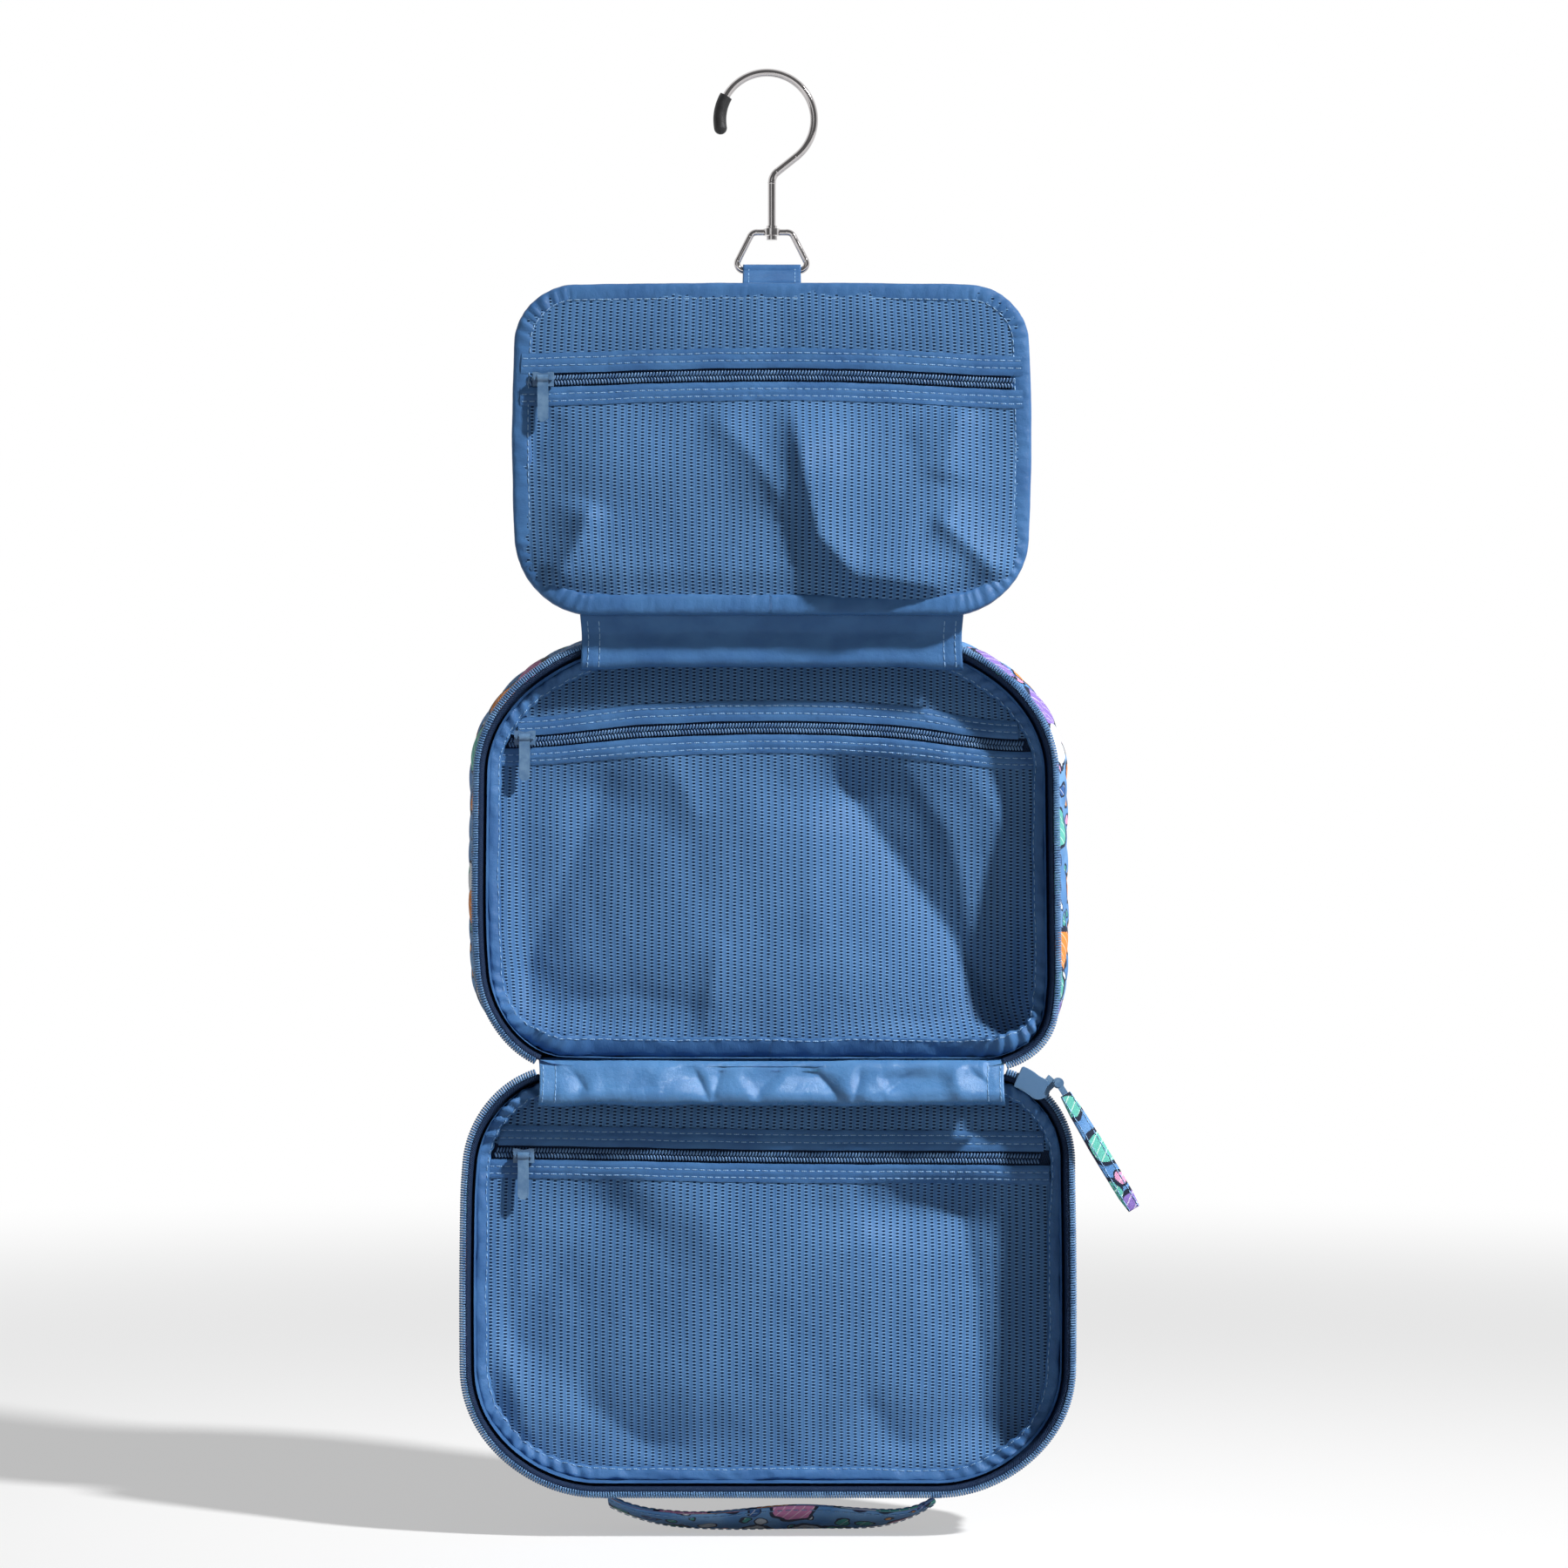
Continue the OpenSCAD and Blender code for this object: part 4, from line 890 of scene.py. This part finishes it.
def build_case(c, body, folds, bulge, drawn):
    """A quilted shell with its lining, rim zip, satin roll and mesh pocket."""
    tag, warp, hinge, back, mesh_d, zip_z = (c[k] for k in ("tag", "warp", "hinge", "back", "mesh", "zip"))
    shape = half, lo, hi, r_lo, r_hi = [c[k] for k in ("half", "lo", "hi", "r_lo", "r_hi")]
    # Each outline starts at the middle of its hinge side
    outline = rounded(*shape)
    if hinge > 0:
        outline = rounded(half, lo, hi, r_hi, r_lo) * [1, -1] + [0, lo + hi]
    edge = Path(outline)
    rim = Path(np.stack(warp(*outline.T), 1))

    def from_hinge(z):
        return z - lo if hinge < 0 else hi - z

    # Quilted side wall, from the rim round to the back
    bend_from, bend_r = 0.82, 6.0
    s = edge.round(420)
    p0, n0 = edge.at(s)
    p1, _ = rim.at(s * (rim.length / edge.length))
    p0 = p0 + drawn * (p1 - p0)
    S, T = grid(s, np.linspace(0, 1, 30))
    by_rim = (1 - np.clip(T * 1.25, 0, 1)[..., None]) ** 1.5
    base = p1[:, None] * by_rim + p0[:, None] * (1 - by_rim)
    away = smooth(3, 40, from_hinge(p0[:, 1]))[:, None]
    turn = np.clip((T - bend_from) / (1 - bend_from), 0, 1) * math.pi / 2
    straight = 1.0 + (back - bend_r - 1.0) * T / bend_from
    deep = np.where(T < bend_from, straight, back - bend_r + bend_r * np.sin(turn))
    off = bulge * away * np.sin(math.pi * np.clip(T / 0.95, 0, 1)) ** 0.8 - bend_r * (1 - np.cos(turn))
    off = off + away * (quilt(S, deep + 8, 22, 1.3) - 0.6) * smooth(0.04, 0.2, T) * smooth(0.99, 0.85, T)
    off = off + 0.5 * rough(S / 26, deep / 14, 1.7) * away * smooth(0.02, 0.2, T)
    pts, uv = beside(base, n0[:, None], off, deep), np.stack([S, deep], -1) + c["print_from"]
    wall = piece(f"{tag}_gusset", pts, grid_faces(*S.shape, True), "printed_quilt", body, uv)

    # Quilted back
    def back_face(x, z):
        return back + (quilt(x, z, 26, 1.7) - 0.3) * inside(x, z, half, lo, hi, 6, 16)

    panel = sheet_of(f"{tag}_back_panel", shape, BACK_MARGIN, back_face, "printed_quilt", body, 170, 130)

    # Lining: the well's wall and the pocket behind the mesh
    def wall_in(S, R, X, Z):
        deep = 1.9 + (back - 5.5) * R
        off = -3.4 - 0.4 * np.sin(math.pi * R) + 0.35 * rough(S / 9, R * 4, 2.2) * smooth(0, 0.15, R)
        return off - 8 * smooth(0.9, 1.0, R), deep, deep

    def floor_in(x, z):
        return back - 3.6 + 0.3 * rough(x / 25, z / 25)

    lining = sweep(f"{tag}_lining", rim, rim.round(420), np.linspace(0, 1, 16), wall_in, "satin_lining", body)
    floor = sheet_of(f"{tag}_lining_floor", shape, FLOOR_MARGIN, floor_in, "satin_lining", body, 60, 46, warp)

    # Rim tape and coil on the three sides away from the hinge
    def tape(S, R, X, Z):
        lip, leg = np.clip(R * 2, 0, 1), np.clip(R * 2 - 1, 0, 1)
        off = 0.4 - 2.6 * np.sin(lip * math.pi / 2)
        deep = 1.35 - 0.35 * np.sin(lip * math.pi) + 2.6 * (1 - np.cos(lip * math.pi / 2))
        return off - 1.0 * leg, deep + 0.12 * rough(S / 6, R * 2) + 7.4 * leg, R * 11

    open_s = np.linspace(RIM_STOP, rim.length - RIM_STOP, 420)
    rim_tape = sweep(f"{tag}_rim_tape", rim, open_s, np.linspace(0, 1, 15), tape, "zip_tape", body)
    at = np.arange(RIM_STOP + 1, rim.length - RIM_STOP - 1, RIM_PITCH)
    p, n = rim.at(at)
    out_way = np.stack([n[:, 0], 0 * at, n[:, 1]], 1)
    run = np.stack([-n[:, 1], 0 * at, n[:, 0]], 1)
    turn_shape, turn_faces = coil_turn(2.26, 1.72, 0.43, 0.5)
    root, axes = beside(p, n, 0.1, 0.95), (run, out_way, (0, 1, 0))
    # The rim teeth use the coil copy painted lighter, as lit.
    stamp(f"{tag}_rim_coil", turn_shape, turn_faces, root, axes, "highlit_rim_teeth", body)

    # Satin roll round the mesh
    def roll(S, R, X, Z):
        x, c, s = np.abs(X), np.cos(R), np.sin(R)
        side = smooth(half - 60, half - 22, x)
        bend = side * np.maximum(smooth(lo + 56, lo + 20, Z), smooth(hi - 56, hi - 20, Z))
        drawn_up = side * smooth(34, 10, from_hinge(Z))
        foot = smooth(26, 8, from_hinge(Z)) * smooth(half - 8, half - 24, x) if hinge < 0 else 0 * S
        slant = S + 2.2 * c + 2.0 * rough(S / 12, 0.7)
        wrinkle = (0.1 + 0.85 * bend) * np.sin(slant * TURN / 7.4)
        wrinkle = wrinkle + 0.7 * rough(S / 6, c * 1.2, s * 1.2) + 0.6 * rough(S / 17, 9.1)
        tilt = np.radians(16 - 40 * foot)
        wide, tall = 2.9 + 1.7 * foot, 1.5 + 0.9 * drawn_up
        lift = 2.2 * smooth(30, 105, X) * (1 - bell(Z, zip_z - 8, 34)) + 6.0 * drawn_up
        u = (wide + 0.5 * wrinkle) * squarish(c, 0.8)
        w = (tall + 0.8 * wrinkle) * squarish(s, 0.8)
        off = -3.3 - wide + u * np.cos(tilt) + 1.1 * rough(S / 22, 3.3) * (1 - bell(Z, zip_z - 4, 22))
        # Room for the pocket slider at each end of the zip
        off = off + (0.8 + 1.2 * smooth(0, 80, X)) * bell(Z, zip_z - 4, 18)
        deep = mesh_d - 1.7 - lift * (1 - np.clip(s, 0, 1)) + w - u * np.sin(tilt)
        return off, deep, R * 2.8

    piping = sweep(f"{tag}_piping", rim, rim.round(620), circle(20), roll, "satin_lining", body, True)
    seam_s, seam_row = np.linspace(0, rim.length, 700), -2.25
    p, n = rim.at(seam_s)
    off, deep, _ = roll(seam_s, np.full_like(seam_s, seam_row), *p.T)
    stitch(body, beside(p, n, off, deep - 0.12), 3.4)

    # Mesh pocket
    def front(x, z):
        in_x = smooth(half - 8, half - 40, np.abs(x))
        below = smooth(lo + 8, lo + 44, z) * smooth(zip_z - 9, zip_z - 44, z)
        above = smooth(hi - 8, hi - 22, z) * smooth(zip_z + 9, zip_z + 20, z)
        creased = folds(x, z) * inside(x, z, half, lo, hi, 8, 20) * (1 - bell(z, zip_z, 15))
        return mesh_d - 3.4 * in_x * below - 1.0 * in_x * above - creased

    def line(x):
        return zip_z + c["bow"](x)

    pocket(tag, body, shape, MESH_MARGIN, front, line, warp)


build_case(M, "middle_case", middle_folds, 4.2, 0.5)
build_case(L, "lower_case", lower_folds, 0.8, 0.3)


# Cloth bands across the two folds

def band(name, half, run, ruck, look, start, end, hems, hem_rows, nx=170, also=()):
    """A cloth strip across a fold, as a run of (depth, height) points swept across the bag."""
    run = np.asarray(run, float)
    s = run_length(run)
    v = np.linspace(0, s[-1], 44)
    d, z = (np.interp(v, s, run[:, k]) for k in (0, 1))
    for _ in range(3):
        for line in (d, z):
            line[1:-1] = (line[:-2] + 2 * line[1:-1] + line[2:]) / 4
    X, V = grid(np.linspace(-half, half, nx), v / s[-1])
    out, sag = ruck(X, V)
    pts = np.stack([X * (1 - 0.01 * np.sin(math.pi * V)), d - out, z + sag], -1)
    obj = piece(name, pts, grid_faces(*X.shape), look, None, np.stack([X, V * s[-1]], -1), also)
    thicken(obj, 0.0005)
    start, end = (tuple(place([(0, 0, height)])[0]) for height in (start, end))
    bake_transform(obj)
    for column in hems:
        stitch(name, pts[column, slice(*hem_rows)] + [0, -0.35, 0], 2.8)
    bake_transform(sew(f"{name}_stitching", STITCHES.pop(name), None))


def bridge_ruck(x, v):
    """A plain strip, a little slack where it leaves the flap, with hemmed ends."""
    x_in = np.abs(x)
    out = 0.3 * smooth(bridge_half - 9, bridge_half - 6, x_in) + 0.25 * rough(x / 9, v * 3, 6.0)
    out = out + smooth(0.5, 0.2, v) * 0.9 * np.sin(math.pi * v) * (0.5 + rough(x / 26, v * 2, 1.4))
    out = out - 0.2 * bell(x_in, bridge_half - 7.2, 0.8)
    return out, 0.5 * rough(x / 30, 2.0) * v - 1.2 * smooth(bridge_half - 30, bridge_half, x_in) * v


bridge_half = bag("bridge_band")[1][0]
bridge_run = [
    (-4.4, F_LO + 3), (-4.0, F_LO - 0.6), (-2.0, F_LO - 3.6), (0.0, F_LO - 6.6),
    (0.2, FOLD_Z), (0.0, FOLD_Z - 3.2), (1.2, FOLD_Z - 5.2), (3.6, FOLD_Z - 5.6),
]
band(
    "bridge_band", bridge_half, bridge_run, bridge_ruck, "satin_lining",
    FOLD_Z + 3, FOLD_Z - 3, (3, 8, -4, -9), (8, 40), also=("bridge_hem",),
)

HINGE_CREASES = (
    ([(-92, 1), (-86, 5), (-78, 14)], -2.0, 9, 2), ([(-72, 20), (-60, 12), (-48, 10)], -1.0, 3, 8),
    ([(-36, 0), (-31, 9), (-25.5, 18)], -3.2, 10, 2.2), ([(-19, 1), (-23, 9), (-25.5, 18)], -2.4, 2, 6),
    ([(10, 0), (2, 7), (-9, 16)], -2.4, 10, 2.4), ([(12, 0), (23, 10), (34, 19)], -3.4, 12, 2.4),
    ([(39, 1), (37, 10), (34, 19)], -2.4, 2, 5), ([(76, 1), (58, 8), (41, 18)], -3.4, 2.6, 12),
    ([(63, 0), (54, 5), (46, 11)], -1.6, 2, 5), ([(81, 3), (88, 8), (95, 12)], -2.2, 8, 2),
    ([(52, 20), (62, 15), (80, 14)], -1.6, 2.4, 8),
)
CREASE_TALL, CREASE_CRISP = 20, 0.4


def hinge_ruck(x, v):
    """Pulled satin: soft billows between sharp creases that lean one way and the other across the strip."""
    puff = np.sin(math.pi * np.clip(v, 0, 1)) ** 0.6
    out = 2.6 + 1.2 * rough(x / 26, v * 1.6, 4.4) + 0.3 * rough(x / 7, v * 3, 8.8) + 1.2 * bell(x, 56, 30)
    # A soft cap, lower in the middle, where the hanger tab lies across the band in the shut bag
    most = 1.7 + 3.0 * smooth(24, 40, np.abs(x))
    out = most - np.log1p(np.exp(2.0 * (most - out))) / 2.0
    creases = folded(x, v * CREASE_TALL, [(*crease, CREASE_CRISP) for crease in HINGE_CREASES])
    out = out + creases * smooth(0.16, 0.46, v)
    ends = smooth(hinge_half - 9, hinge_half - 7, np.abs(x))
    return puff * out * (1 - 0.7 * ends) + 0.6 * ends, 0.9 * rough(x / 20, 3.0) * smooth(0.5, 1, v)


hinge_half = bag("hinge_band")[1][0]
hinge_run = [
    (8.0, HINGE_Z + 4.6), (4.0, HINGE_Z + 3.4), (2.6, HINGE_Z + 0.8), (0.2, HINGE_Z - 5.0),
    (-2.2, HINGE_Z - 10.6), (-1.6, HINGE_Z - 13.6), (1.4, HINGE_Z - 15.2), (4.0, HINGE_Z - 15.4),
]
# The hinge band uses the lighter satin copy, painted as lit.
band(
    "hinge_band", hinge_half, hinge_run, hinge_ruck, "highlit_satin",
    HINGE_Z + 2.5, HINGE_Z - 5, (2, 9, -3, -10), (9, 36), 260,
)

# The carry handle, a printed strap lined in satin, wavy where it rests
HANDLE_WIDE = 19
h_lo, h_hi = bag("handle")
x = np.linspace(h_lo[0] + 1, h_hi[0] - 1, 90)
drop = 1 - np.abs(2 * x / (h_hi[0] - h_lo[0])) ** 6
head, foot = h_hi[2] - 1.0, h_lo[2] + 2.4
z = head + (foot - head) * drop + 0.7 * np.sin(x / 13 + 0.6) * drop
mid = np.stack([x, (h_lo[1] + h_hi[1]) / 2 + 1.2 * np.sin(x / 21), z], 1)
roll = np.radians(29 + 7 * np.sin(x / 17 + 0.9) - 12 * smooth(40, 70, np.abs(x)))
wide = np.stack([0 * x, np.cos(roll), -np.sin(roll)], 1)
thick = np.cross(unit(np.gradient(mid, axis=0)), wide)
width = HANDLE_WIDE + 0.6 * np.sin(x / 9)
handle = strap("handle", mid, wide, thick, width, 2.5, "printed_quilt", "carry_handle")
upper = mid - thick * np.where(thick[:, 2:] > 0, -0.75, 0.75)
inner_strap = strap("handle_lining", upper, wide, thick, 17.4, 1.4, "satin_lining", "carry_handle")
for k in (-0.41, 0.41):
    for lift in (-1.3, 1.3):
        stitch("carry_handle", mid + wide * HANDLE_WIDE * k + thick * lift, 3.4, front=(0, 0.2, -1))

# Sewn ends of the handle, folded patches on the case foot
a_lo, a_hi = bag("handle_anchors")
for name, side, nodes in (("handle_end_left", -1, ("handle_anchors",)), ("handle_end_right", 1, ())):
    low_end = side * (a_hi[0] - 5.0), (a_lo[1] + a_hi[1]) / 2, a_lo[2]
    m = np.linspace(low_end, (*low_end[:2], a_hi[2] + 1.0), 14)
    end = strap(name, m, (0, 1, 0), (1, 0, 0), 20.5, 4.4, "printed_quilt", "lower_case", also=nodes)

# The main slider's front plate: square at its mouth, waisted, round at its nose
along = np.array([0, 0.6, 2.5, 5, 6.4, 7.6, 8.8, 10, 11.2, 12.2, 13.1, 13.9, 14.5, 14.9, 15.1])
half_wide = np.array([3.9, 4.5, 4.6, 4.55, 4.35, 4.3, 4.5, 4.72, 4.75, 4.5, 4.0, 3.2, 2.3, 1.4, 0.5])
RIDE_R, RIDE_FROM = 39.6, math.radians(24)
turned = RIDE_FROM + along / RIDE_R
out_way = np.stack([np.sin(turned), 0 * along, np.cos(turned)], 1)
mid = np.array([CORNER[0], -0.5, CORNER[2]]) + RIDE_R * out_way
plate = "main_slider_plate", mid, out_way, (0, 1, 0), 2 * half_wide, 0.24, "enamelled_metal", "main_zip_slider"
strap(*plate, power=0.6)

# The main zip's pull tab, a doubled printed tape that hangs away from the slider
t_lo, t_hi = bag("main_pull_tab")
TAB_LEAN = math.radians(31)
way = np.array([math.sin(TAB_LEAN), 0, -math.cos(TAB_LEAN)])
across = np.array([math.cos(TAB_LEAN), 0, math.sin(TAB_LEAN)])
u = np.linspace(5.5, (t_lo[2] - PIN[2]) / way[2] + 1.5, 60)
mid = np.array([PIN[0], 0, PIN[2]]) + way * u[:, None]
mid[:, 1] = (t_lo[1] + t_hi[1]) / 2 - 0.9 * np.sin(u / 11) - 0.6
twist = np.radians(10 + 8 * np.sin(u / 14))[:, None]
wide = across * np.cos(twist) + np.array([0, 1.0, 0]) * np.sin(twist)
thick = np.cross(wide, way)
tab_wide = np.interp(u, u[[0, 9, 26, 52, -1]], [4.6, 6.4, 7.4, 6.8, 5.2])
tab = strap("main_pull_tab", mid, wide, thick, tab_wide, 2.0, "printed_quilt", "main_zip_pull", (281, 126))
for k in (-0.36, 0.36):
    stitch("main_zip_pull", mid + wide * 6 * k - thick * np.sign(thick[:, 1:2]) * 1.02, 2.6)

for body, rows in STITCHES.items():
    sewn = sew(f"{body}_stitching", rows, body)
    if body == "carry_handle":
        still, up, seat = place([(0, 0, 0), (0, 0, 1), (0, 0, h_lo[2] + 1.5)])
        for part in (handle, inner_strap, sewn):
            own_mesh(part)

# Hard parts keep their CAD shape
pocket_metal = [f"{tag}_{part}" for tag in ("flap", "middle", "lower") for part in ("slider", "pull")]
for look, names in (
    ("chrome_wire", ("hook", "hook_rivet", "swivel_collar", "ring")),
    ("black_rubber", ("hook_tip",)),
    ("enamelled_metal", (*pocket_metal, "main_slider", "main_pull_link")),
):
    for name in names:
        obj = frame["nodes"][name]
        obj.data.materials.clear()
        obj.data.materials.append(LOOKS[look])
        if look == "enamelled_metal":
            soft = obj.modifiers.new("edge", "BEVEL")
            soft.width, soft.segments, soft.limit_method, soft.angle_limit = 0.0003, 3, "ANGLE", math.radians(32)


# Stage

def seen_directly(tree, mirrored=None):
    """1 where the camera looks, straight or by way of metal or glass; 0 for light that falls on cloth.

    What metal or glass shows can have a level of its own.
    """
    def both(operation, a, b):
        return new_node(tree, "Math", {0: a, 1: b}, operation=operation).outputs[0]

    path = new_node(tree, "LightPath")
    by_way = both("MAXIMUM", path.outputs["Is Glossy Ray"], path.outputs["Is Transmission Ray"])
    if mirrored:
        by_way = both("MULTIPLY", by_way, mirrored)
    return both("MAXIMUM", path.outputs["Is Camera Ray"], by_way)


# The floor, lifted towards white for the camera and lost in the white set farther off
FLOOR_GREY, FLOOR_LIFT = (0.42, 0.42, 0.42, 1), 0.46
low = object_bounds()[0].z - 0.0002
floor_mesh = bpy.data.meshes.new("floor")
floor_mesh.from_pydata([(-6, -3, low), (6, -3, low), (6, 6, low), (-6, 6, low)], [], [(0, 1, 2, 3)])
floor = add_object("floor", floor_mesh)
ground = bpy.data.materials.new("floor")
ground.use_nodes = True
tree = ground.node_tree
tree.nodes.clear()
matte = new_node(tree, "BsdfDiffuse", {"Color": FLOOR_GREY})
lift = new_node(tree, "Math", {0: seen_directly(tree), 1: FLOOR_LIFT}, operation="MULTIPLY")
lifted = new_node(tree, "Emission", {"Strength": lift.outputs[0]})
near_floor = new_node(tree, "AddShader", {0: matte.outputs[0], 1: lifted.outputs[0]})
far_floor = new_node(tree, "Emission")
where = new_node(tree, "TexCoord").outputs["Object"]
away = new_node(tree, "VectorMath", {0: where}, operation="LENGTH").outputs["Value"]
fade = new_node(
    tree, "MapRange", {"Value": away, "From Min": 0.75, "From Max": 1.7}, interpolation_type="SMOOTHSTEP"
)
ins = {0: fade.outputs["Result"], 1: near_floor.outputs[0], 2: far_floor.outputs[0]}
new_node(tree, "OutputMaterial", {0: new_node(tree, "MixShader", ins).outputs[0]})
floor_mesh.materials.append(ground)

# Metal mirrors the white set behind and beside the bag and the dim room in front of it
world = bpy.data.worlds.new("studio")
scene.world = world
world.use_nodes = True
tree = world.node_tree
facing = new_node(tree, "SeparateXYZ", {0: new_node(tree, "TexCoord").outputs["Generated"]})
ins = {"Value": facing.outputs["Y"], "From Min": -0.4, "From Max": 0.0, "To Min": 0.03, "To Max": 1.0}
room = new_node(tree, "MapRange", ins, interpolation_type="SMOOTHSTEP")
ins = {"Value": seen_directly(tree, room.outputs["Result"]), "To Min": 0.12, "To Max": 1.0}
level = new_node(tree, "MapRange", ins)
backdrop = tree.nodes["Background"]
backdrop.inputs["Color"].default_value = (1, 1, 1, 1)
put(tree, backdrop.inputs["Strength"], level.outputs["Result"])


def lamp(name, where, aim, size, power, spread=math.pi):
    data = bpy.data.lights.new(name, "AREA")
    data.shape, data.size, data.energy, data.spread = "DISK", size, power, spread
    obj = add_object(name, data)
    obj.location = where
    obj.rotation_euler = (aim - where).to_track_quat("-Z", "Y").to_euler()


AIM = Vector((0, 0, -0.34))
key_from = AIM + 4.0 * Vector((0.9, -0.62, 0.9)).normalized()
fill_from = AIM + 2.2 * Vector((-0.3, -1.0, 0.1)).normalized()
lamp("key", key_from, AIM + Vector((0, 0, -0.2)), 0.3, 14.4, math.radians(42))
lamp("fill", fill_from, AIM, 1.2, 2.5)

# The camera takes in the photo's whole width at y = 0
AWAY, SENSOR, PHOTO_PIXELS, MM_A_PIXEL = 1.9, 36, 1800, 0.373
eye = bpy.data.cameras.new("camera")
camera = add_object("camera", eye)
camera.location = (0.0052, -AWAY, -0.3028)
camera.rotation_euler = (math.pi / 2, 0, 0)
eye.sensor_width = SENSOR
eye.lens = SENSOR * AWAY / (PHOTO_PIXELS * MM_A_PIXEL * MM)
eye.clip_start, eye.clip_end = 0.05, 50
scene.camera = camera
scene.view_settings.view_transform = "Standard"
